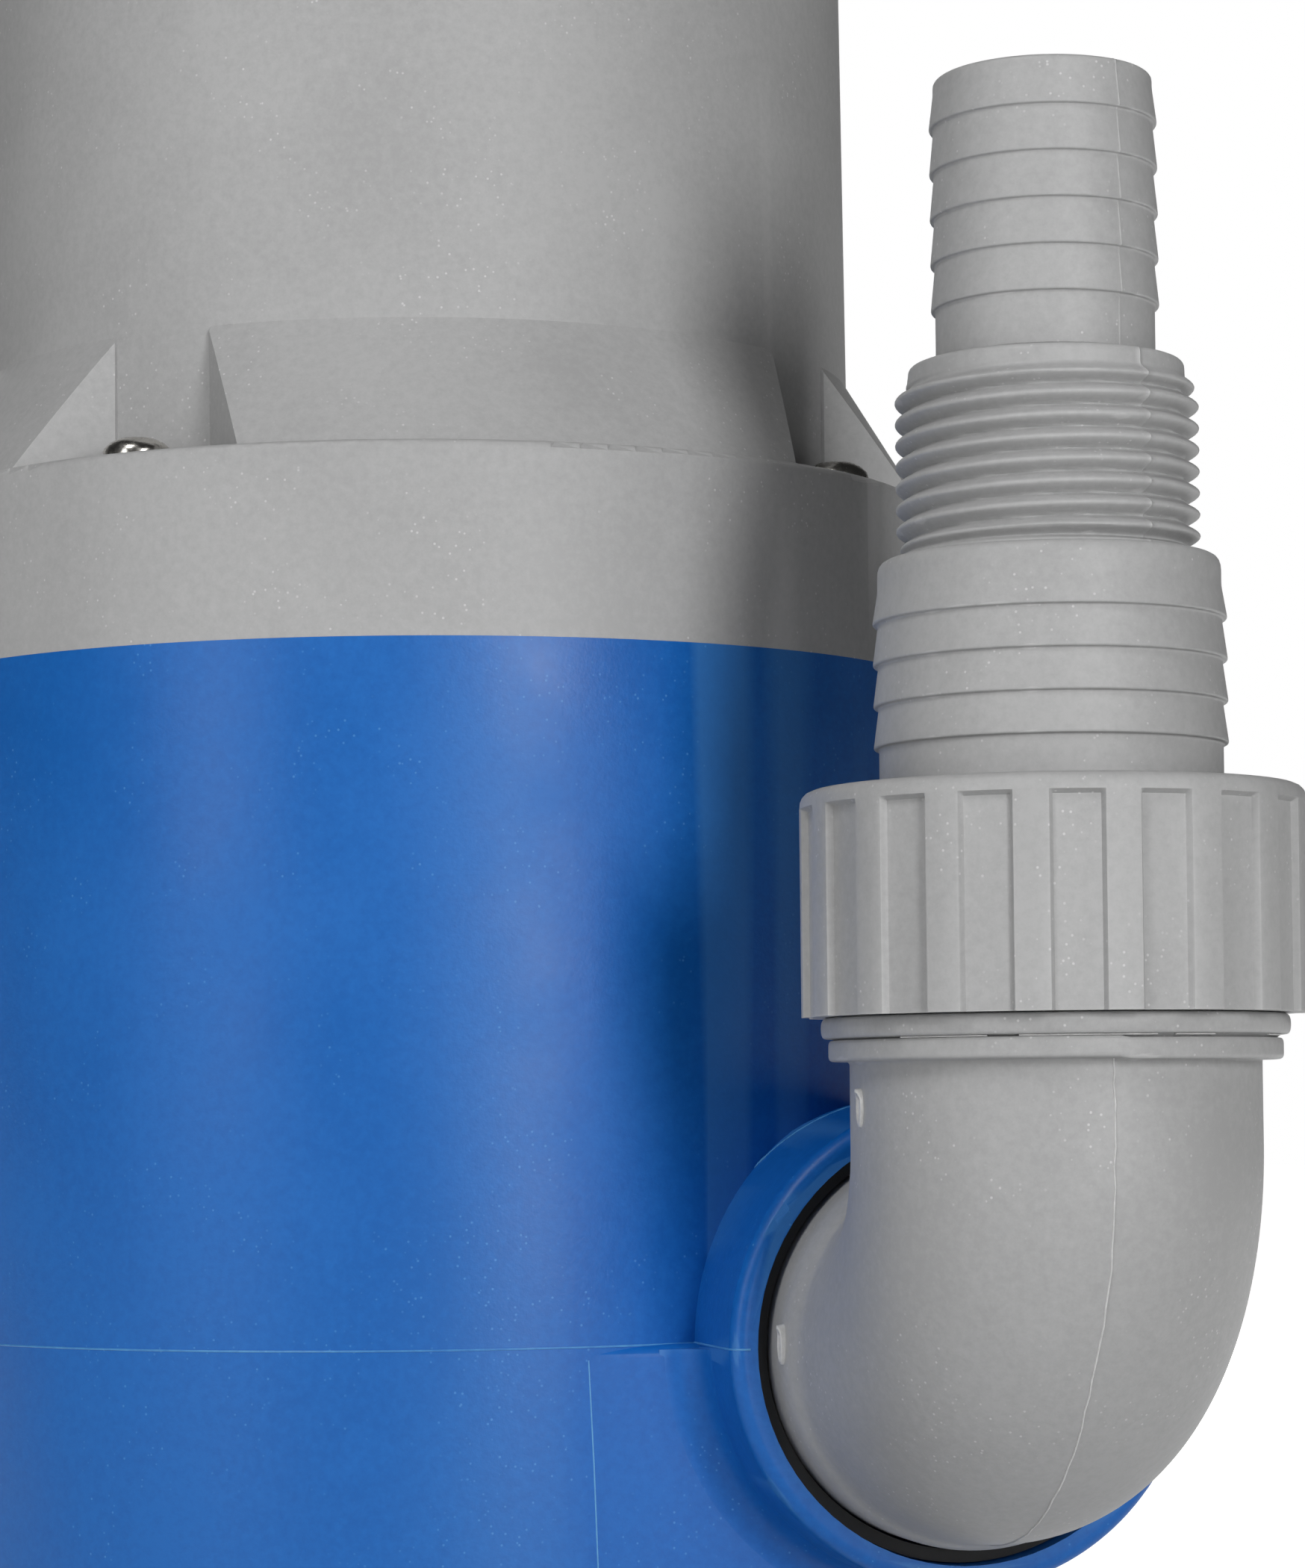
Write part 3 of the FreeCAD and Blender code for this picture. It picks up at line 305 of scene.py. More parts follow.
def kept(piece, slot_name, body, *stands_for):
    """Hang a finished piece on the body it rides on and hide the CAD nodes it stands for; the slot name is
    not used.
    """
    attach(piece, body)
    if stands_for:
        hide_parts(*stands_for)


def piece_of(name, shape, material, slot_name, body, *stands_for, surfaces=()):
    """Turn a bmesh into a finished piece that rides on a body and stands for its CAD nodes."""
    bmesh.ops.remove_doubles(shape, verts=shape.verts, dist=2e-7)
    bmesh.ops.recalc_face_normals(shape, faces=shape.faces)
    mesh = bpy.data.meshes.new(name)
    shape.to_mesh(mesh)
    shape.free()
    shaded(mesh)
    piece = bpy.data.objects.new(name, mesh)
    scene.collection.objects.link(piece)
    materials = evened(piece).materials
    materials.clear()
    materials.append(material)
    if surfaces:
        trued(piece, surfaces)
    kept(piece, slot_name, body, *stands_for)


def softened(node_name, width, angle=28.0, steps=2):
    """A copy of a CAD piece as a bmesh, its sharp edges rounded as the mould leaves them."""
    shape = bmesh.new()
    shape.from_mesh(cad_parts[node_name].data)
    bmesh.ops.remove_doubles(shape, verts=shape.verts, dist=2e-6)
    bmesh.ops.dissolve_limit(shape, angle_limit=math.radians(0.4), verts=shape.verts, edges=shape.edges)
    sharp = [edge for edge in shape.edges
             if len(edge.link_faces) == 2 and edge.calc_face_angle() > math.radians(angle)]
    bmesh.ops.bevel(shape, geom=sharp, offset=width, offset_type="OFFSET", segments=steps, profile=0.5,
                    affect="EDGES", clamp_overlap=True)
    return shape


blue_plastic = moulded("blue_plastic", BLUE, BLUE_DEEP, BLUE_PALE, 0.40, 2200.0, 0.018 * MM,
                       sheen_band=0.08, flecks=0.6, specular=0.32)
UPWARDS = (0, 0, 1)
OUTWARDS = (0, -1, 0)
barrel_face = turned_face((0, 0, 0), UPWARDS, CASING_RADIUS)
piece_of("casing_shell", softened("pump_casing", CASING_EDGE), blue_plastic, "blue_casing",
         "housing", "pump_casing",
         surfaces=(barrel_face, turned_face(BOSS_AXIS, OUTWARDS, BOSS_RADIUS),
                   turned_face(BOSS_AXIS, OUTWARDS, BOSS_ROOT_RADIUS, BOSS_SLOPE),
                   turned_face(PAD_CORNER, UPWARDS, PAD_CORNER_RADIUS),
                   turned_face(BOSS_AXIS, OUTWARDS, BOSS_MOUTH)))


# Flash on the casing: where the mould's parts meet, a thin paler line of plastic stands proud. One line
# runs round the barrel at the outlet's height and over the boss, one down the pad, one round the boss's foot.
FLASH_HALF = 0.17
FLASH_RISE = 0.11
FLASH_SINK = 0.12
FLASH_BLUE = (0.050, 0.235, 0.545)
FLASH_BRIGHT = (0.16, 0.45, 0.70)
RING_STEP = 2.0


def bridged(shape, loops, caps=()):
    """Add the faces from each loop of points to the next, and over the loops whose numbers are given."""
    for near, far in zip(loops, loops[1:]):
        for column in range(len(near)):
            beside = (column + 1) % len(near)
            shape.faces.new((near[column], far[column], far[beside], near[beside]))
    for number in caps:
        shape.faces.new(loops[number])


def flash_line(shape, path, half=FLASH_HALF, rise=FLASH_RISE):
    """Add a low ridge along a path of (point, outward direction) pairs, closed at both ends."""
    profile = ((-1.0, -FLASH_SINK), (-0.55, rise * 0.7), (0.0, rise), (0.55, rise * 0.7), (1.0, -FLASH_SINK))
    loops = []
    for index, (point, away) in enumerate(path):
        ahead = path[min(index + 1, len(path) - 1)][0] - path[max(index - 1, 0)][0]
        side = ahead.cross(away).normalized() * half
        loops.append([shape.verts.new((point + side * across + away * up) * MM) for across, up in profile])
    bridged(shape, loops, (0, -1))


def round_barrel(first, last, level):
    """Pairs along the barrel from one angle to another, at one height."""
    count = math.ceil(abs(last - first) / RING_STEP)
    pairs = []
    for step in range(count + 1):
        angle = math.radians(first + (last - first) * step / count)
        away = Vector((math.cos(angle), math.sin(angle), 0))
        pairs.append((away * CASING_RADIUS + Vector((0, 0, level)), away))
    return pairs


def on_boss(angle, forward, radius=BOSS_RADIUS):
    """A pair on the boss's wall; the angle runs from +X over the top."""
    away = Vector((math.cos(math.radians(angle)), 0, math.sin(math.radians(angle))))
    return Vector((BOSS_AXIS.x, -forward, BOSS_AXIS.z)) + away * radius, away


SEAM_LEVEL = BOSS_AXIS.z - 0.05
SEAM_START = -6.9
SEAM_BOSS = 286.5
PAD_LINE = ((4.42, 58.4), (4.95, 46.0), (5.5, CASING_FOOT + 0.3))
PAD_FLASH = (FLASH_HALF * 0.8, 0.07)
SIDE_LINE = (65.0, 70.0, 75.0, BOSS_FACE - BOSS_ROUNDING)
FOOT_LINE_START = 61.5
FOOT_LINE_GAIN = 2.5
FOOT_FLASH = (0.2, 0.12)

flash = bmesh.new()
flash_line(flash, round_barrel(SEAM_START, SEAM_BOSS, SEAM_LEVEL))
flash_line(flash, [(Vector((x, -PAD_FRONT, z)), Vector(OUTWARDS)) for x, z in PAD_LINE], *PAD_FLASH)
for side in (180.0, 0.0):
    flash_line(flash, [on_boss(side, forward) for forward in SIDE_LINE])
    corner = BOSS_RADIUS - BOSS_ROUNDING
    lean = Vector((math.cos(math.radians(side)), 0, 0))
    flash_line(flash, [(Vector((BOSS_AXIS.x, -BOSS_FACE + BOSS_ROUNDING, BOSS_AXIS.z)) + lean * corner
                        + (lean * math.cos(turn) + Vector(OUTWARDS) * math.sin(turn)) * BOSS_ROUNDING,
                        lean * math.cos(turn) + Vector(OUTWARDS) * math.sin(turn))
                       for turn in (0.0, 0.4, 0.8, 1.2, math.pi / 2)])
    flash_line(flash, [(Vector((BOSS_AXIS.x, -BOSS_FACE, BOSS_AXIS.z)) + lean * reach, Vector(OUTWARDS))
                       for reach in (corner, BOSS_MOUTH + 0.9)])
flash_line(flash, [on_boss(angle, FOOT_LINE_START + FOOT_LINE_GAIN * (angle / 180.0) ** 3)
                   for angle in range(0, 181, 6)], *FOOT_FLASH)
flash_plastic = moulded("flash_plastic", FLASH_BLUE, BLUE, FLASH_BRIGHT, 0.34, 1800.0, 0.010 * MM, flecks=0.3)
piece_of("casing_flash", flash, flash_plastic, "blue_casing", "housing")


# Foot of the boss: below the mould line the boss flows into the pad's face in a hollow curve, part of the
# same moulding. It narrows towards the casing's lower edge and dies away on the far side.
HOLLOW_CURVE = 5.0
HOLLOW_ANGLES = (181.0, 290.0)
HOLLOW_FADE = 22.0
HOLLOW_COLUMNS = 55
HOLLOW_ROWS = 9
HOLLOW_LAP = 0.05
HOLLOW_SINK = 0.3


def hollow_at(angle):
    """The hollow's radius at an angle round the boss."""
    down = max(-math.sin(math.radians(angle)), 0.05)
    room = (BOSS_AXIS.z - CASING_FOOT - 0.2) / down - BOSS_RADIUS
    fade = min((HOLLOW_ANGLES[1] - angle) / HOLLOW_FADE, 1.0)
    return max(min(HOLLOW_CURVE, room) * fade, 0.15)


hollow = bmesh.new()
hollow_loops = []
turns = [math.pi / 2 * row / HOLLOW_ROWS for row in range(HOLLOW_ROWS + 1)]
inside, behind = BOSS_RADIUS - HOLLOW_SINK, PAD_FRONT - HOLLOW_SINK
for step in range(HOLLOW_COLUMNS + 1):
    angle = HOLLOW_ANGLES[0] + (HOLLOW_ANGLES[1] - HOLLOW_ANGLES[0]) * step / HOLLOW_COLUMNS
    curve = hollow_at(angle)
    section = [(BOSS_RADIUS - HOLLOW_LAP + curve * (1 - math.cos(turn)),
                PAD_FRONT - HOLLOW_LAP + curve * (1 - math.sin(turn))) for turn in turns]
    section += [(BOSS_RADIUS + curve, behind), (inside, behind), (inside, PAD_FRONT + curve)]
    hollow_loops.append([hollow.verts.new(on_boss(angle, forward, radius)[0] * MM)
                         for radius, forward in section])
bridged(hollow, hollow_loops, (0, -1))
piece_of("boss_hollow", hollow, blue_plastic, "blue_casing", "housing")


# Motor cover: a second moulding, in light grey filled plastic with a satin skin. Its wide flange is
# screwed down on the casing; the cone above it is broken by four pockets for the screws.
GREY = (0.402, 0.402, 0.403)
GREY_DEEP = (0.350, 0.350, 0.351)
GREY_PALE = (0.620, 0.620, 0.620)
COVER_EDGE = 1.1 * MM
FLANGE_SEAT = 165.5
CONE_FOOT = 67.0
CONE_HEIGHT = 16.2
NECK_RADIUS = 57.0
CONE_SLOPE = (NECK_RADIUS - CONE_FOOT) / CONE_HEIGHT
NECK_TAPER = -0.6 / 78.3

grey_plastic = moulded("grey_plastic", GREY, GREY_DEEP, GREY_PALE, 0.50, 2400.0, 0.010 * MM,
                       sheen_band=0.06, flecks=0.7, specular=0.32)
piece_of("motor_cover_shell", softened("motor_cover", COVER_EDGE), grey_plastic, "grey_moulding",
         "housing", "motor_cover",
         surfaces=(barrel_face, turned_face((0, 0, FLANGE_SEAT), UPWARDS, CONE_FOOT, CONE_SLOPE),
                   turned_face((0, 0, FLANGE_SEAT + CONE_HEIGHT), UPWARDS, NECK_RADIUS, NECK_TAPER),
                   turned_face((0, 0, 0), UPWARDS, NECK_RADIUS)))


# Outlet elbow: a thick grey moulding, screwed into the boss by its short leg. The mould's halves meet
# near its plane of symmetry: in a fine ridge inside the bend, and in a thin line of flash round its
# outside. Two oval scars on its side show where gates were cut.
OUTLET_HEIGHT = 60.0
ELBOW_BEND = 23.0
ELBOW_RADIUS = 22.4
ELBOW_BORE = 18.0
ELBOW_REACH = 109.0
LEG_END = 63.0
LEG_THREAD = 23.6
COLLAR_RADIUS = 23.6
COLLAR_BACK = 79.0
COLLAR_FRONT = 84.2
COLLAR_RUN = 2.4
LOWER_RING = (24.7, 32.45, 34.75)
UPPER_RING = (25.5, 34.95, 37.22)
RING_STEP_DOWN = 0.2
ELBOW_PARTING = 0.10
RISER_THREAD = 24.0
RISER_TOP = 52.0
PARTING_RISE = 0.10
PARTING_HALF_ANGLE = 0.35
ELBOW_COLUMNS = 128

riser_low, riser_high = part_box("hose_adapter")
RISER_AXIS = (riser_low + riser_high) / 2 / MM


def eased(corners, steps=5, closed=True):
    """Points of an outline of (radius, height, rounding) corners, each corner drawn as a small curve."""
    points = []
    for index, (radius, height, rounding) in enumerate(corners):
        corner = Vector((radius, height))
        if rounding == 0 or (not closed and index in (0, len(corners) - 1)):
            points.append(corner)
            continue
        before = Vector(corners[index - 1][:2]) - corner
        after = Vector(corners[(index + 1) % len(corners)][:2]) - corner
        start = corner + before.normalized() * min(rounding, before.length * 0.48)
        end = corner + after.normalized() * min(rounding, after.length * 0.48)
        for step in range(steps + 1):
            part = step / steps
            points.append(start.lerp(corner, part).lerp(corner.lerp(end, part), part))
    return points


def filled(points, longest, low=-1e9, high=1e9):
    """The same closed outline with its long sides divided, between two heights."""
    divided = []
    for index, point in enumerate(points):
        following = points[(index + 1) % len(points)]
        divided.append(point)
        parts = math.ceil(abs(following.y - point.y) / longest)
        for step in range(1, parts):
            between = point.lerp(following, step / parts)
            if low <= between.y <= high:
                divided.append(between)
    return divided


def ring_angles(columns, ridges=()):
    """Even angles about an axis, and three close ones for each ridge, with the ridge's share of rise."""
    angles = [(2 * math.pi * column / columns, 0.0) for column in range(columns)]
    for ridge in ridges:
        half = math.radians(PARTING_HALF_ANGLE)
        angles = [pair for pair in angles
                  if abs(math.remainder(pair[0] - ridge, 2 * math.pi)) > 2 * half]
        angles += [((ridge + side * half) % (2 * math.pi), float(side == 0)) for side in (-1, 0, 1)]
    return sorted(angles)


def skinned(angles, outline, spot):
    """A closed shape with one loop of points for each angle; spot gives a point of that loop."""
    shape = bmesh.new()
    loops = [[shape.verts.new(spot(angle, point, rise) * MM) for point in outline] for angle, rise in angles]
    bridged(shape, [*loops, loops[0]])
    return shape


def elbow_spot(angle, point, rise):
    """A point of the elbow: point.y runs along its centre line from the leg's end up to the riser's top."""
    straight = ELBOW_REACH - ELBOW_BEND - LEG_END
    quarter = ELBOW_BEND * math.pi / 2
    low, high = riser_start + LOWER_RING[1] - 0.3, riser_start + LOWER_RING[2] + 0.05
    if point.x > ELBOW_RADIUS + 0.5 and low < point.y < high and math.sin(angle + ELBOW_PARTING) > 0.003:
        point = Vector((point.x, point.y - RING_STEP_DOWN))
    turn = min(max((point.y - straight) / quarter, 0.0), 1.0) * math.pi / 2
    along = min(point.y, straight)
    beyond = max(point.y - straight - quarter, 0.0)
    outwards = Vector((0, -math.sin(turn), -math.cos(turn)))
    centre = Vector((RISER_AXIS.x, ELBOW_BEND - ELBOW_REACH + straight - along, OUTLET_HEIGHT + ELBOW_BEND
                     + beyond)) + outwards * ELBOW_BEND
    radius = point.x + (rise * PARTING_RISE if point.x > ELBOW_BORE + 1 else 0)
    return centre + (outwards * math.cos(angle) + Vector((1, 0, 0)) * math.sin(angle)) * radius


riser_start = ELBOW_REACH - ELBOW_BEND - LEG_END + ELBOW_BEND * math.pi / 2 - ELBOW_BEND
elbow_outline = [
    (ELBOW_BORE, 0, 0), (LEG_THREAD, 0, 0.8), (LEG_THREAD, COLLAR_BACK - LEG_END, 0.2),
    (COLLAR_RADIUS, COLLAR_BACK - LEG_END, 0.5), (COLLAR_RADIUS, COLLAR_FRONT - LEG_END, 1.7),
    (ELBOW_RADIUS, COLLAR_FRONT + COLLAR_RUN - LEG_END, 1.4),
    (ELBOW_RADIUS, riser_start + LOWER_RING[1], 0.5), (LOWER_RING[0], riser_start + LOWER_RING[1], 0.6),
    (LOWER_RING[0], riser_start + LOWER_RING[2], 0.7),
    (LOWER_RING[0] - 0.8, riser_start + LOWER_RING[2], 0.1),
    (UPPER_RING[0] - 1.0, riser_start + UPPER_RING[1], 0.1),
    (UPPER_RING[0], riser_start + UPPER_RING[1], 1.1),
    (UPPER_RING[0], riser_start + UPPER_RING[2], 1.1), (RISER_THREAD, riser_start + UPPER_RING[2], 0.1),
    (RISER_THREAD, riser_start + RISER_TOP, 0.8), (ELBOW_BORE, riser_start + RISER_TOP, 0.8)]
elbow_angles = ring_angles(ELBOW_COLUMNS, (math.pi,))
elbow_shape = skinned(elbow_angles, filled(eased(elbow_outline), 0.9), elbow_spot)
piece_of("elbow_moulding", elbow_shape, grey_plastic, "grey_moulding", "elbow", "outlet_elbow")

# Flash on the elbow: a thin light wavering line of plastic down the mould's parting on the bend, and
# slivers of it between the two rings.
ELBOW_FLASH_PATH = (12.0, 76.0, 1.1)
ELBOW_FLASH_WAVER = 0.16
ELBOW_FLASH_DRIFT = (20.0, 25.0)
ELBOW_FLASH_SIZE = (0.13, 0.16)
SLIVER_SIZE = (0.12, 0.15)
SLIVERS = ((-62.0, -38.0), (-30.0, 4.0), (9.0, 21.0), (46.0, 58.0))
SLIVER_LEVEL = 34.85
SLIVER_REACH = 24.55
GREY_FLASH = (0.62, 0.62, 0.615)


def wavering(step):
    """An uneven swing between -1 and 1 that never repeats."""
    return (math.sin(step * 1.7) + math.sin(step * 0.61 + 1.3) + math.sin(step * 3.1 + 0.4)) / 3


grey_flash = moulded("grey_flash", GREY_FLASH, GREY, (0.80, 0.80, 0.79), 0.40, 1800.0, 0.008 * MM)
elbow_flash = bmesh.new()
along, last, stride = ELBOW_FLASH_PATH
line = []
while along < last:
    drift = min(max(along - ELBOW_FLASH_DRIFT[0], 0) / ELBOW_FLASH_DRIFT[1], 1)
    aside = ELBOW_FLASH_WAVER * wavering(along) / ELBOW_RADIUS - ELBOW_PARTING * drift
    middle = elbow_spot(aside, Vector((0.0, along)), 0.0)
    away = (elbow_spot(aside, Vector((ELBOW_RADIUS, along)), 0.0) - middle).normalized()
    line.append((middle + away * ELBOW_RADIUS, away))
    along += stride
flash_line(elbow_flash, line, *ELBOW_FLASH_SIZE)
for first, last in SLIVERS:
    line = []
    for step in range(13):
        aside = math.radians(first + (last - first) * step / 12)
        height = Vector((SLIVER_REACH + 0.2 * wavering(first + step * 2), riser_start + SLIVER_LEVEL))
        away = elbow_spot(aside, height + Vector((1.0, 0.0)), 0.0) - elbow_spot(aside, height, 0.0)
        line.append((elbow_spot(aside, height, 0.0), away))
    flash_line(elbow_flash, line, *SLIVER_SIZE)
piece_of("elbow_flash", elbow_flash, grey_flash, "grey_moulding", "elbow")

# The two gate scars: shallow ovals with a raised lip, one on the riser and one on the collar.
GATE_SCARS = ((27.4, 0, 2.2, 0.9), (0.6, 83.6, 2.4, 0.8))
SCAR_LIP = 0.32
SCAR_FLOOR = 0.10


def gate_scar(height, forward, half_height, half_width):
    """An oval scar on the elbow's left side, standing on the tube's flank."""
    shape = bmesh.new()
    on_leg = forward > 0
    flank = COLLAR_RADIUS if on_leg else ELBOW_RADIUS
    rings = ((1.0, -0.35), (0.92, SCAR_LIP * 0.7), (0.80, SCAR_LIP), (0.66, SCAR_LIP * 0.6),
             (0.5, SCAR_FLOOR), (0.0, SCAR_FLOOR))
    columns = 28
    loops = []
    for share, rise in rings:
        loop = []
        for column in range(columns):
            angle = 2 * math.pi * column / columns
            up = half_height * share * math.sin(angle)
            side = half_width * share * math.cos(angle)
            curl = 0.5 * max(math.sin(angle), 0) ** 4 * share
            drop = flank - math.sqrt(flank ** 2 - (up if on_leg else side) ** 2)
            loop.append(shape.verts.new(Vector((
                RISER_AXIS.x - flank + drop - rise - (curl if rise > SCAR_FLOOR else 0),
                -(forward if on_leg else ELBOW_REACH) + side, OUTLET_HEIGHT + height + up)) * MM))
        loops.append(loop)
    bridged(shape, loops, (0,))
    return shape


for number, scar in enumerate(GATE_SCARS, start=1):
    piece_of(f"gate_scar_{number}", gate_scar(*scar), grey_flash, "grey_moulding", "elbow")


# Union nut: a grey cap nut with eighteen grip ribs, turned by hand. One rib with its groove is made
# and repeated about the riser; a plain rim closes the grooves at the top, and they run out at the foot.
NUT_FOOT = 37.3
NUT_TOP = 62.0
NUT_RIB = 27.6
NUT_GROOVE = 26.75
NUT_GROOVE_TOP = 59.9
NUT_BORE = 24.5
NUT_RIM_BORE = 20.0
NUT_RIM_BOTTOM = 58.0
NUT_RIBS = 18
NUT_GROOVE_HALF = 5.35
NUT_FLANK = 0.75
NUT_EDGE = 1.9
NUT_FIRST_GROOVE = -105.9


def geometry_tree(name, **sockets):
    """A geometry tree with these inputs beside the shape, and the sockets that give them."""
    tree = bpy.data.node_groups.new(name, "GeometryNodeTree")
    for socket, kind in (("Geometry", "Geometry"), *sockets.items()):
        tree.interface.new_socket(name=socket, in_out="INPUT", socket_type="NodeSocket" + kind)
    tree.interface.new_socket(name="Geometry", in_out="OUTPUT", socket_type="NodeSocketGeometry")
    return tree, node(tree, "NodeGroupInput").outputs


def ring_tree():
    """Copies of a piece turned about an upright axis and made one mesh."""
    tree, given = geometry_tree("set_in_a_ring", Count="Int", Axis="Vector", Start="Float",
                                Material="Material")
    place = node(tree, "GeometryNodePoints", {"Count": given["Count"]})
    step = math_of(tree, "DIVIDE", 2 * math.pi, given["Count"])
    angle = math_of(tree, "ADD", math_of(tree, "MULTIPLY", node(tree, "GeometryNodeInputIndex").outputs[0],
                                         step), given["Start"])
    turn = node(tree, "ShaderNodeCombineXYZ", {"Z": angle})
    copies = node(tree, "GeometryNodeInstanceOnPoints", {
        "Points": place.outputs[0], "Instance": given["Geometry"], "Rotation": turn.outputs[0]})
    real = node(tree, "GeometryNodeRealizeInstances", {0: copies.outputs[0]})
    welded = node(tree, "GeometryNodeMergeByDistance", {"Geometry": real.outputs[0], "Distance": 1e-5})
    moved = node(tree, "GeometryNodeTransform", {"Geometry": welded.outputs[0], "Translation": given["Axis"]})
    dressed = node(tree, "GeometryNodeSetMaterial", {
        "Geometry": moved.outputs[0], "Material": given["Material"]})
    node(tree, "NodeGroupOutput", {"Geometry": dressed.outputs[0]})
    return tree


SET_IN_A_RING = ring_tree()


def run_tree(name, shape, tree, inputs, angle=32.0):
    """Run a geometry tree on a shape and keep the result as a plain mesh object."""
    start = bpy.data.meshes.new(name + "_one")
    shape.to_mesh(start)
    shape.free()
    piece = bpy.data.objects.new(name, start)
    scene.collection.objects.link(piece)
    modifier = piece.modifiers.new("form", "NODES")
    modifier.node_group = tree
    for item in tree.interface.items_tree:
        if item.in_out == "INPUT" and item.name in inputs:
            modifier[item.identifier] = inputs[item.name]
    mesh = applied(piece, modifier)
    bpy.data.meshes.remove(start)
    mesh.name = name
    shaded(mesh, angle)
    return piece


def nut_sector():
    """One groove with half a rib on each side, from the bore out to the grip and back."""
    sector = math.pi / NUT_RIBS
    groove = math.radians(NUT_GROOVE_HALF)
    flank = math.radians(NUT_FLANK)
    steps = [-sector, -groove - flank * 1.9, -groove - flank, -groove - flank * 0.5, -groove,
             -groove + flank * 0.9]
    steps = steps + [0.0] + [-step for step in reversed(steps)]
    shares = [1.0, 1.0, 0.93, 0.5, 0.07, 0.0]
    shares = shares + [0.0] + list(reversed(shares))
    tall = NUT_GROOVE_TOP - NUT_FOOT
    wall = [(0.0, 0.0), (0.0, 0.25), (0.0, tall - 0.3), (0.5, tall - 0.05), (1.0, tall + 0.15)]
    rim = eased([(NUT_RIB, NUT_FOOT, 0), (NUT_RIB, NUT_TOP, NUT_EDGE), (NUT_RIM_BORE, NUT_TOP, 0.5),
                 (NUT_RIM_BORE, NUT_RIM_BOTTOM, 0.3), (NUT_BORE, NUT_RIM_BOTTOM, 0.3),
                 (NUT_BORE, NUT_FOOT, 0.4)], closed=False)
    shape = bmesh.new()
    columns = []
    for step, share in zip(steps, shares):
        depth = (NUT_RIB - NUT_GROOVE) * (1 - share)
        points = [Vector((NUT_RIB - depth * (1 - closing), NUT_FOOT + rise)) for closing, rise in wall]
        points += rim[1:]
        columns.append([shape.verts.new(Vector((point.x * math.cos(step), point.x * math.sin(step),
                                                point.y + OUTLET_HEIGHT)) * MM) for point in points])
    bridged(shape, columns)
    return shape


nut_axis = (RISER_AXIS.x * MM, RISER_AXIS.y * MM, 0.0)
nut = run_tree("union_nut_moulding", nut_sector(), SET_IN_A_RING, {
    "Count": NUT_RIBS, "Axis": nut_axis, "Start": math.radians(NUT_FIRST_GROOVE), "Material": grey_plastic})
kept(nut, "grey_moulding", "union_nut", "union_nut")


# Hose adapter: one grey moulding, cut to suit the hose. From below: a tail for 38 mm hose with four
# barbs, a pipe thread, and a tail for 25 mm hose with five barbs.
ADAPTER_BASE = 53.7
FLANGE_TOP = 57.6
FLANGE_RADIUS = 23.5
BIG_CORE = 18.75
BIG_BARB = 19.35
BIG_BORE = 15.5
BIG_STEP = 66.5
BIG_PITCH = 4.55
BIG_COUNT = 4
BIG_TOP = 87.1
BIG_SHOULDER = 1.6
THREAD_STEP = 16.25
THREAD_ROOT = 15.1
THREAD_CREST = 16.6
THREAD_BOTTOM = 87.3
THREAD_START = 87.12
THREAD_TOP = 106.9
THREAD_PITCH = 2.363
THREAD_RING_TOP = 108.5
NECK_GROOVE = 0.35
SMALL_CORE = 12.0
SMALL_BARB = 12.5
SMALL_BORE = 9.5
SMALL_STEP = 114.6
SMALL_PITCH = 5.03
SMALL_COUNT = 5
SMALL_BORE_BOTTOM = 88.0
BIG_BORE_TOP = 84.0
ADAPTER_TOP = 140.2
ADAPTER_PARTINGS = (-70.0, 110.0)
ADAPTER_COLUMNS = 144
ADAPTER_ROW = 0.16
BARB_EDGE = 0.30
THREAD_ROUNDNESS = 0.72
THREAD_RUNOUT = 1.4
THREAD_SKIN = 0.3 * MM


def barb_corners(core, crest, step, pitch, count):
    """Saw-tooth corners, the crest of each barb at its foot."""
    corners = []
    for index in range(count):
        level = step + index * pitch
        corners += [(core, level, BARB_EDGE), (crest, level + 0.08, BARB_EDGE)]
    return corners


def adapter_spot(angle, point, rise):
    outside = point.x > BIG_BORE + 0.5 or point.y > BIG_TOP and point.x > SMALL_BORE + 0.5
    radius = point.x + (rise * PARTING_RISE if outside and point.y > BIG_TOP else 0)
    return Vector((RISER_AXIS.x + radius * math.cos(angle), RISER_AXIS.y + radius * math.sin(angle),
                   OUTLET_HEIGHT + point.y))


adapter_corners = [
    (BIG_BORE, ADAPTER_BASE, 0.3), (FLANGE_RADIUS, ADAPTER_BASE, 0.4), (FLANGE_RADIUS, FLANGE_TOP, 0.4),
    (BIG_CORE, FLANGE_TOP, 0.2)]
adapter_corners += barb_corners(BIG_CORE, BIG_BARB, BIG_STEP, BIG_PITCH, BIG_COUNT)
adapter_corners += [
    (BIG_CORE, BIG_STEP + BIG_COUNT * BIG_PITCH - 0.9, 0.5), (BIG_CORE, BIG_TOP, BIG_SHOULDER),
    (THREAD_STEP, BIG_TOP, 0.1), (THREAD_STEP, THREAD_BOTTOM + 0.2, 0.3),
    (THREAD_ROOT, THREAD_BOTTOM + 0.6, 0.3), (THREAD_ROOT, THREAD_RING_TOP, 0.8),
    (SMALL_CORE + 0.2, THREAD_RING_TOP, 0.1), (SMALL_CORE - NECK_GROOVE, THREAD_RING_TOP + 0.05, 0.1),
    (SMALL_CORE - NECK_GROOVE, THREAD_RING_TOP + 0.35, 0.1), (SMALL_CORE, THREAD_RING_TOP + 0.5, 0.1)]
adapter_corners += barb_corners(SMALL_CORE, SMALL_BARB, SMALL_STEP, SMALL_PITCH, SMALL_COUNT)
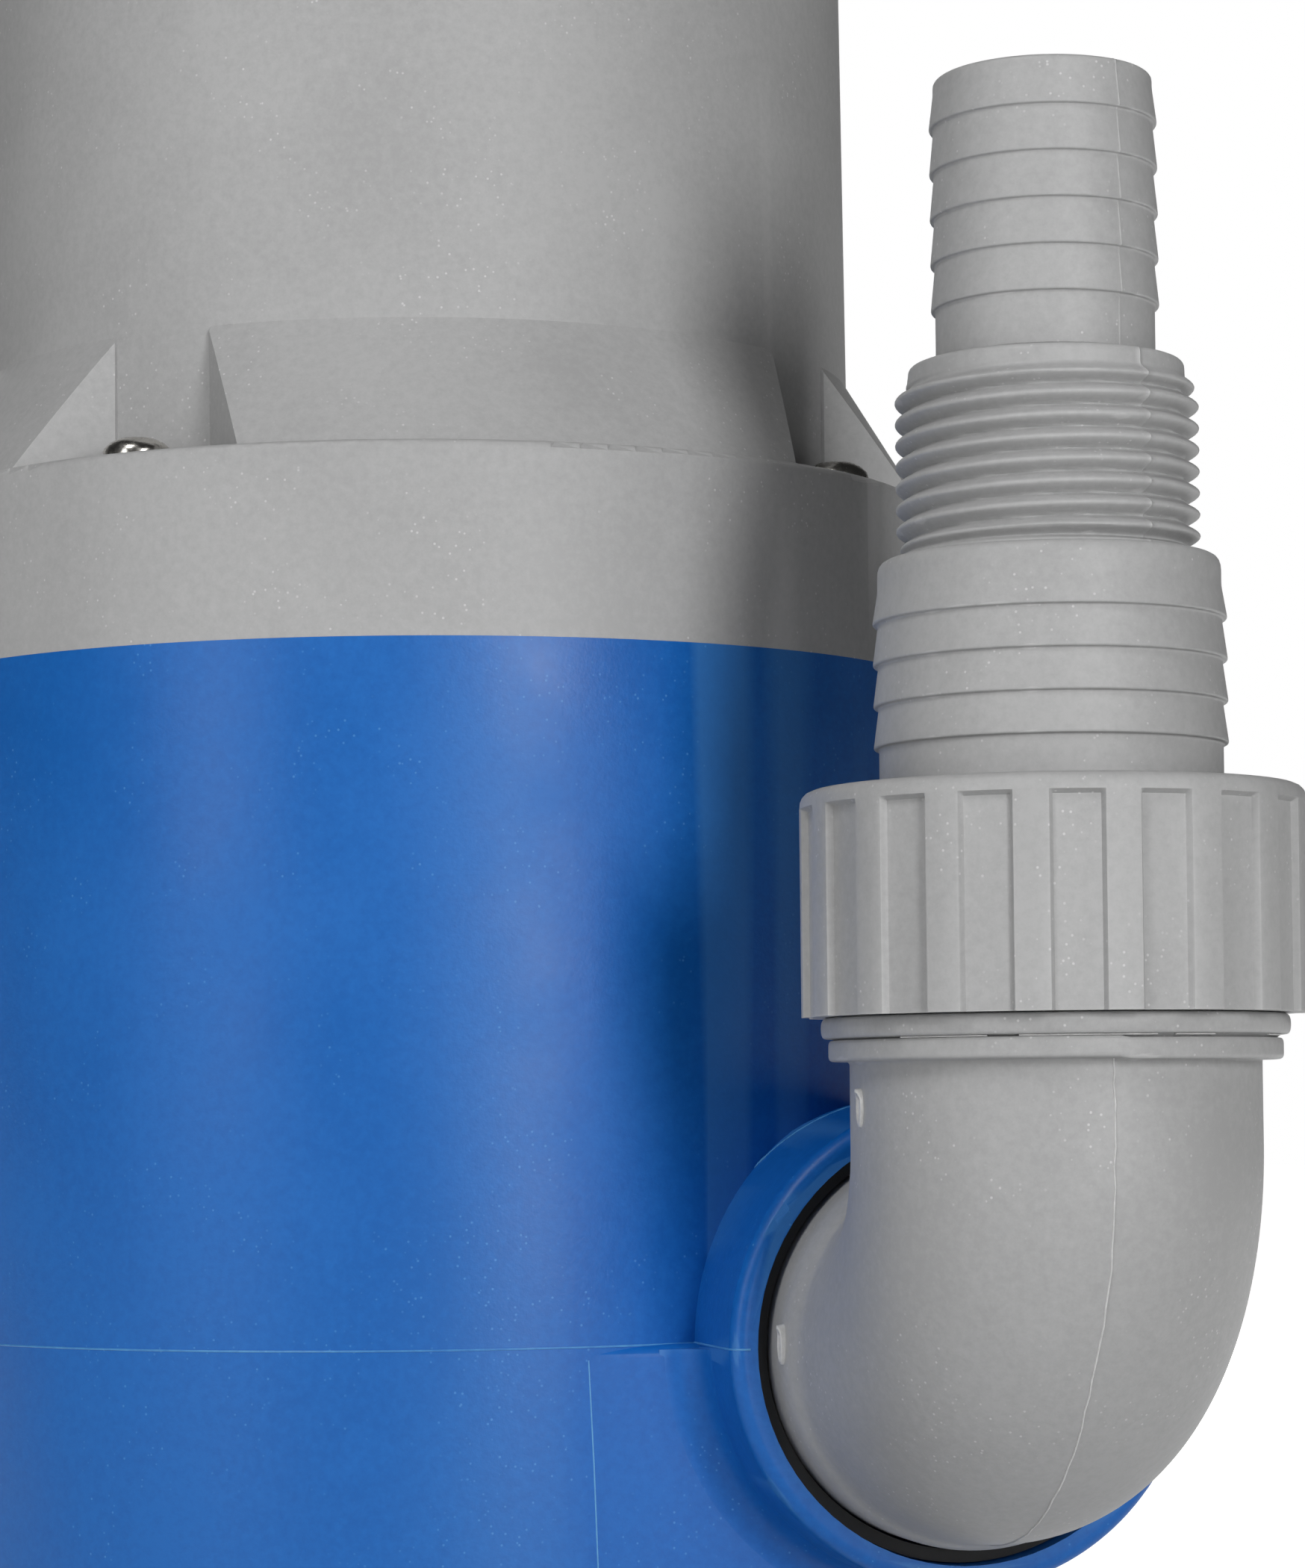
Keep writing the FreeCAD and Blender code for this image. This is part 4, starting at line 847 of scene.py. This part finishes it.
adapter_corners += [
    (SMALL_CORE, SMALL_STEP + SMALL_COUNT * SMALL_PITCH - 1.0, 0.5), (SMALL_CORE, ADAPTER_TOP, 1.0),
    (SMALL_BORE, ADAPTER_TOP, 0.6), (SMALL_BORE, SMALL_BORE_BOTTOM, 0.5), (BIG_BORE, BIG_BORE_TOP, 0.5)]


def thread_tree():
    """Raise a pipe thread on a turned piece: a rounded ridge that winds up the axis and fades at its ends."""
    tree, given = geometry_tree("raise_thread", Axis="Vector", Root="Float", Rise="Float", Bottom="Float",
                                Top="Float", Pitch="Float", Material="Material")
    place = node(tree, "GeometryNodeInputPosition").outputs[0]
    apart = node(tree, "ShaderNodeVectorMath", {0: place, 1: given["Axis"]}, operation="SUBTRACT").outputs[0]
    flat = node(tree, "ShaderNodeVectorMath", {0: apart, 1: (1, 1, 0)}, operation="MULTIPLY").outputs[0]
    split = node(tree, "ShaderNodeSeparateXYZ", {0: apart}).outputs
    bearing = math_of(tree, "DIVIDE", math_of(tree, "ARCTAN2", split["Y"], split["X"]), 2 * math.pi)
    height = node(tree, "ShaderNodeSeparateXYZ", {0: place}).outputs["Z"]
    above = math_of(tree, "DIVIDE", math_of(tree, "SUBTRACT", height, given["Bottom"]), given["Pitch"])
    below = math_of(tree, "DIVIDE", math_of(tree, "SUBTRACT", given["Top"], height), given["Pitch"])
    phase = math_of(tree, "MULTIPLY", math_of(tree, "SUBTRACT", above, bearing), 2 * math.pi)
    wave = math_of(tree, "ADD", math_of(tree, "MULTIPLY", math_of(tree, "COSINE", phase), 0.5), 0.5)
    ridge = math_of(tree, "POWER", wave, THREAD_ROUNDNESS)
    runout = math_of(tree, "MULTIPLY", math_of(tree, "MULTIPLY", above, THREAD_RUNOUT, True),
                     math_of(tree, "MULTIPLY", below, THREAD_RUNOUT, True))
    radius = node(tree, "ShaderNodeVectorMath", {0: flat}, operation="LENGTH").outputs["Value"]
    outer = math_of(tree, "GREATER_THAN", radius, math_of(tree, "SUBTRACT", given["Root"], THREAD_SKIN))
    between = math_of(tree, "MULTIPLY", math_of(tree, "GREATER_THAN", above, 0.0),
                      math_of(tree, "GREATER_THAN", below, 0.0))
    inside = math_of(tree, "MULTIPLY", outer, between)
    lift = math_of(tree, "MULTIPLY", math_of(tree, "MULTIPLY", ridge, runout),
                   math_of(tree, "MULTIPLY", given["Rise"], inside))
    away = node(tree, "ShaderNodeVectorMath", {0: flat}, operation="NORMALIZE").outputs[0]
    offset = node(tree, "ShaderNodeVectorMath", {0: away, "Scale": lift}, operation="SCALE").outputs[0]
    raised = node(tree, "GeometryNodeSetPosition", {"Geometry": given["Geometry"], "Offset": offset})
    real = node(tree, "GeometryNodeRealizeInstances", {0: raised.outputs[0]})
    dressed = node(tree, "GeometryNodeSetMaterial", {
        "Geometry": real.outputs[0], "Material": given["Material"]})
    node(tree, "NodeGroupOutput", {"Geometry": dressed.outputs[0]})
    return tree


parting_angles = [math.radians(angle) for angle in ADAPTER_PARTINGS]
adapter_points = filled(eased(adapter_corners), ADAPTER_ROW, THREAD_BOTTOM, THREAD_TOP)
adapter_shape = skinned(ring_angles(ADAPTER_COLUMNS, parting_angles), adapter_points, adapter_spot)
bmesh.ops.recalc_face_normals(adapter_shape, faces=adapter_shape.faces)
adapter = run_tree("adapter_moulding", adapter_shape, thread_tree(), {
    "Axis": nut_axis, "Root": THREAD_ROOT * MM, "Rise": (THREAD_CREST - THREAD_ROOT) * MM,
    "Bottom": (OUTLET_HEIGHT + THREAD_START) * MM, "Top": (OUTLET_HEIGHT + THREAD_TOP) * MM,
    "Pitch": THREAD_PITCH * MM, "Material": grey_plastic}, angle=50.0)
kept(adapter, "grey_moulding", "hose_adapter", "hose_adapter")


# Screws: stainless pan heads with a cross recess. Four clamp the cover's flange, four the foot from
# below and two the handle; they cut their own threads in blind holes.
SCREW_HEAD = 4.1
SCREW_CROWN = 2.6
SCREW_SHANK = 2.0
SCREW_DOME = 0.35
RECESS_ARM = 0.52
RECESS_REACH = 2.0
RECESS_DEPTH = 1.5
CLOUD_GRAIN = 0.08
CLOUD_DARK = 0.78
SCREW_SETS = (
    {"name": "flange_screw_heads", "node": "flange_screws", "reach": 62.0, "seat": 165.5, "length": 30.0,
     "head": 2.6, "count": 4, "start": 45.0, "way": 1},
    {"name": "handle_screw_heads", "node": "handle_screws", "reach": 24.0, "seat": 272.0, "length": 16.0,
     "head": 2.4, "count": 2, "start": 0.0, "way": 1},
    {"name": "foot_screw_heads", "node": "foot_screws", "reach": 61.0, "seat": 3.0, "length": 32.0,
     "head": 2.4, "count": 4, "start": 45.0, "way": -1})


def metal(name, colour, roughness, grain, rise, stretch=(1.0, 1.0, 1.0), spread=0.08):
    """A bare metal: fine tool or casting marks in its relief, and an uneven shine."""
    material, tree = new_material(name)
    place = node(tree, "ShaderNodeMapping", {
        "Vector": node(tree, "ShaderNodeTexCoord").outputs["Object"], "Scale": stretch}).outputs[0]
    marks = node(tree, "ShaderNodeTexNoise", {"Vector": place, "Scale": grain, "Detail": 4.0,
                                             "Roughness": 0.6})
    cloud = node(tree, "ShaderNodeTexNoise", {"Vector": place, "Scale": grain * CLOUD_GRAIN, "Detail": 3.0})
    tone = blend(tree, cloud.outputs[0], [part * CLOUD_DARK for part in colour], colour)
    shine = node(tree, "ShaderNodeMapRange", {
        "Value": marks.outputs[0], "From Min": 0.3, "From Max": 0.7,
        "To Min": roughness - spread, "To Max": roughness + spread})
    surfaced(tree, tone, shine.outputs["Result"], marks.outputs[0], rise, {"Metallic": 1.0})
    return material


stainless = metal("stainless_steel", (0.66, 0.64, 0.60), 0.24, 900.0, 0.004 * MM)


def recess_edge(angle):
    """How far the cross recess reaches from the screw's middle at an angle."""
    lean = abs((angle + math.pi / 4) % (math.pi / 2) - math.pi / 4)
    return min(RECESS_REACH / math.cos(lean), RECESS_ARM / max(math.sin(lean), 1e-6))


def pan_head(reach, seat, length, head, way):
    """One screw: recess, domed head and shank, standing on its seat at a distance from the axis."""
    tip = math.atan2(RECESS_ARM, RECESS_REACH)
    quarter = [0.0, tip, *(math.radians(step) for step in (22, 30, 38, 45, 52, 60, 68)), math.pi / 2 - tip]
    angles = [turn * math.pi / 2 + angle for turn in range(4) for angle in quarter]
    walls = ((0.45, RECESS_DEPTH * 0.72), (0.88, RECESS_DEPTH * 0.5), (0.97, 0.12))
    rounds = ((2.35, 0.0), (SCREW_CROWN, 0.06), (SCREW_CROWN + 0.7, 0.42), (SCREW_HEAD - 0.16, 1.05),
              (SCREW_HEAD, 1.55), (SCREW_HEAD, head), (SCREW_SHANK, head), (SCREW_SHANK, head + length))
    shape = bmesh.new()

    def spot(radius, angle, drop):
        dome = SCREW_DOME * max(1 - (radius / SCREW_CROWN) ** 2, 0) - SCREW_DOME
        level = head - drop + (dome if drop < head else 0)
        return shape.verts.new(Vector((reach + radius * math.cos(angle), radius * math.sin(angle),
                                       seat + way * level)) * MM)
    loops = [[spot(recess_edge(angle) * share, angle, drop) for angle in angles] for share, drop in walls]
    loops.append([spot(recess_edge(angle), angle, 0.0) for angle in angles])
    loops += [[spot(radius, angle, drop) for angle in angles] for radius, drop in rounds]
    bridged(shape, loops, (0, -1))
    bmesh.ops.recalc_face_normals(shape, faces=shape.faces)
    return shape


for screws in SCREW_SETS:
    one = pan_head(screws["reach"], screws["seat"], screws["length"], screws["head"], screws["way"])
    heads = run_tree(screws["name"], one, SET_IN_A_RING, {"Count": screws["count"], "Axis": (0.0, 0.0, 0.0),
                                     "Start": math.radians(screws["start"]), "Material": stainless})
    kept(heads, "stainless_steel", "housing", screws["node"])


# Handle: a bow moulded in charcoal plastic, screwed to the crown. It has a notch that the lead is pressed
# into and an eye for the rope that lowers the pump.
CHARCOAL = (0.040, 0.042, 0.046)
CHARCOAL_DEEP = (0.030, 0.032, 0.036)
CHARCOAL_PALE = (0.110, 0.113, 0.120)
HANDLE_EDGE = 1.0 * MM

charcoal_plastic = moulded("charcoal_plastic", CHARCOAL, CHARCOAL_DEEP, CHARCOAL_PALE, 0.46, 1700.0,
                           0.014 * MM, flecks=0.2, specular=0.40)
piece_of("handle_bow", softened("carry_handle", HANDLE_EDGE), charcoal_plastic, "charcoal_moulding",
         "housing", "carry_handle")


# Lead inlets: two glands through the crown. A ribbed dome nut squeezes a rubber sleeve round the lead;
# the body is held by a locknut inside.
CROWN = 268.0
GLANDS = {"mains": 15.0, "float": -17.0}
GLAND_BACK = 31.0
GLAND_EDGE = 0.4 * MM
GRIP_COUNT = 12
GRIP_DEPTH = 0.65
GRIP_LEVELS = (5.4, 12.2)
GRIP_SHARP = 3.0
DOME_NUT = [(8.0, 4.05, 0.1), (10.5, 4.05, 0.5), (10.5, 13.0, 1.6), (9.6, 16.6, 2.4), (7.5, 19.0, 0.6),
            (5.0, 19.0, 0.5), (5.0, 15.0, 0), (6.4, 15.0, 0), (6.4, 11.0, 0), (8.0, 11.0, 0)]


def grip_spot(x):
    """A point of a dome nut at x: its waist is drawn in between the grip ribs."""
    def spot(angle, point, rise):
        low, high = GRIP_LEVELS
        inside = min(max((point.y - low) / 0.8, 0), 1) * min(max((high - point.y) / 0.8, 0), 1)
        groove = max(0.0, 0.5 - 0.5 * math.cos(angle * GRIP_COUNT)) ** (1 / GRIP_SHARP)
        radius = point.x - (GRIP_DEPTH * groove * inside if point.x > 9.0 else 0)
        return Vector((x + radius * math.cos(angle), GLAND_BACK + radius * math.sin(angle), CROWN + point.y))
    return spot


for lead, x in GLANDS.items():
    nut_shape = skinned(ring_angles(12 * GRIP_COUNT), filled(eased(DOME_NUT, 4), 0.8), grip_spot(x))
    piece_of(f"{lead}_dome_nut", nut_shape, charcoal_plastic, "charcoal_moulding",
             "housing", f"{lead}_gland_nut")
    piece_of(f"{lead}_gland_body", softened(f"{lead}_gland", GLAND_EDGE), charcoal_plastic,
             "charcoal_moulding", "housing", f"{lead}_gland")


# Suction foot: a charcoal moulding with twelve inlet windows round a closed plate, and inside it the disc
# with the suction eye. The foot's screws go up through it into the casing.
FOOT_EDGE = 0.7 * MM

piece_of("foot_moulding", softened("suction_foot", FOOT_EDGE), charcoal_plastic, "charcoal_moulding",
         "housing", "suction_foot")


# Pieces that stay as they are packed: the pump side, the motor and the seals, each in its own finish.
# Stacked sheet steel shows its layers, the winding its wires, cast shields their skin.
LAYER_DARK = 0.55
LAYER_DEPTH = 0.25


def layered(name, colour, roughness, pitch):
    """Sheet or wire laid side by side: fine ridges across one direction, over a slow change of tone."""
    material, tree = new_material(name)
    place = node(tree, "ShaderNodeTexCoord").outputs["Object"]
    ridges = node(tree, "ShaderNodeTexWave", {"Vector": place, "Scale": 0.314 / pitch, "Distortion": 0.6,
                                              "Detail": 1.0}, bands_direction="Z").outputs["Fac"]
    slow = node(tree, "ShaderNodeTexNoise", {"Vector": place, "Scale": 90.0, "Detail": 3.0})
    tone = blend(tree, math_of(tree, "MULTIPLY", ridges, slow.outputs[0]),
                 [part * LAYER_DARK for part in colour], colour)
    surfaced(tree, tone, roughness, ridges, pitch * LAYER_DEPTH, {"Metallic": 1.0})
    return material


rubber = moulded("black_rubber", (0.020, 0.020, 0.021), (0.014, 0.014, 0.015), (0.05, 0.05, 0.05), 0.72,
                 2200.0, 0.012 * MM, flecks=0.3, specular=0.3)
impeller_plastic = moulded("impeller_plastic", (0.026, 0.026, 0.027), (0.018, 0.018, 0.019),
                           (0.075, 0.075, 0.078), 0.52, 1500.0, 0.016 * MM, flecks=0.5, specular=0.4)
bearing_steel = metal("bearing_steel", (0.62, 0.62, 0.63), 0.16, 1400.0, 0.002 * MM, spread=0.05)
cast_metal = metal("cast_aluminium", (0.60, 0.60, 0.61), 0.46, 700.0, 0.03 * MM)
drawn_steel = metal("drawn_can_steel", (0.60, 0.59, 0.57), 0.30, 500.0, 0.006 * MM, stretch=(1.0, 1.0, 0.05))
ceramic = moulded("seal_ceramic", (0.56, 0.54, 0.50), (0.52, 0.50, 0.46), (0.66, 0.64, 0.60), 0.22, 2600.0,
                  0.002 * MM, specular=0.6)
sheet_stack = layered("stacked_sheet_steel", (0.36, 0.36, 0.37), 0.42, 0.5 * MM)
winding = layered("lacquered_copper", (0.72, 0.30, 0.13), 0.30, 0.7 * MM)
pale_case = moulded("pale_case", (0.52, 0.52, 0.50), (0.46, 0.46, 0.44), (0.66, 0.66, 0.64), 0.40, 1900.0,
                    0.008 * MM, flecks=0.3)
FINISHES = {
    rubber: ("flange_seal", "mains_gland_sleeve", "float_gland_sleeve", "shield_seal", "shaft_lip_seal",
             "outlet_gasket", "union_gasket"),
    impeller_plastic: ("impeller",),
    charcoal_plastic: ("suction_cover", "mains_locknut", "float_locknut", "capacitor_strap"),
    stainless: ("impeller_washer", "impeller_nut", "motor_shaft"),
    drawn_steel: ("motor_can",),
    bearing_steel: ("lower_bearing_outer_race", "upper_bearing_outer_race", "lower_bearing_inner_race",
                    "upper_bearing_inner_race", "lower_bearing_balls", "upper_bearing_balls"),
    ceramic: ("shaft_seal_seat", "shaft_seal_ring"),
    sheet_stack: ("rotor_core", "stator_core"),
    cast_metal: ("lower_bearing_shield", "upper_bearing_shield", "rotor_lower_end_ring",
                 "rotor_upper_end_ring"),
    winding: ("stator_winding",),
    pale_case: ("run_capacitor", "thermal_cutout")}
for finish, names in FINISHES.items():
    for name in names:
        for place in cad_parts[name].material_slots:
            place.material = finish
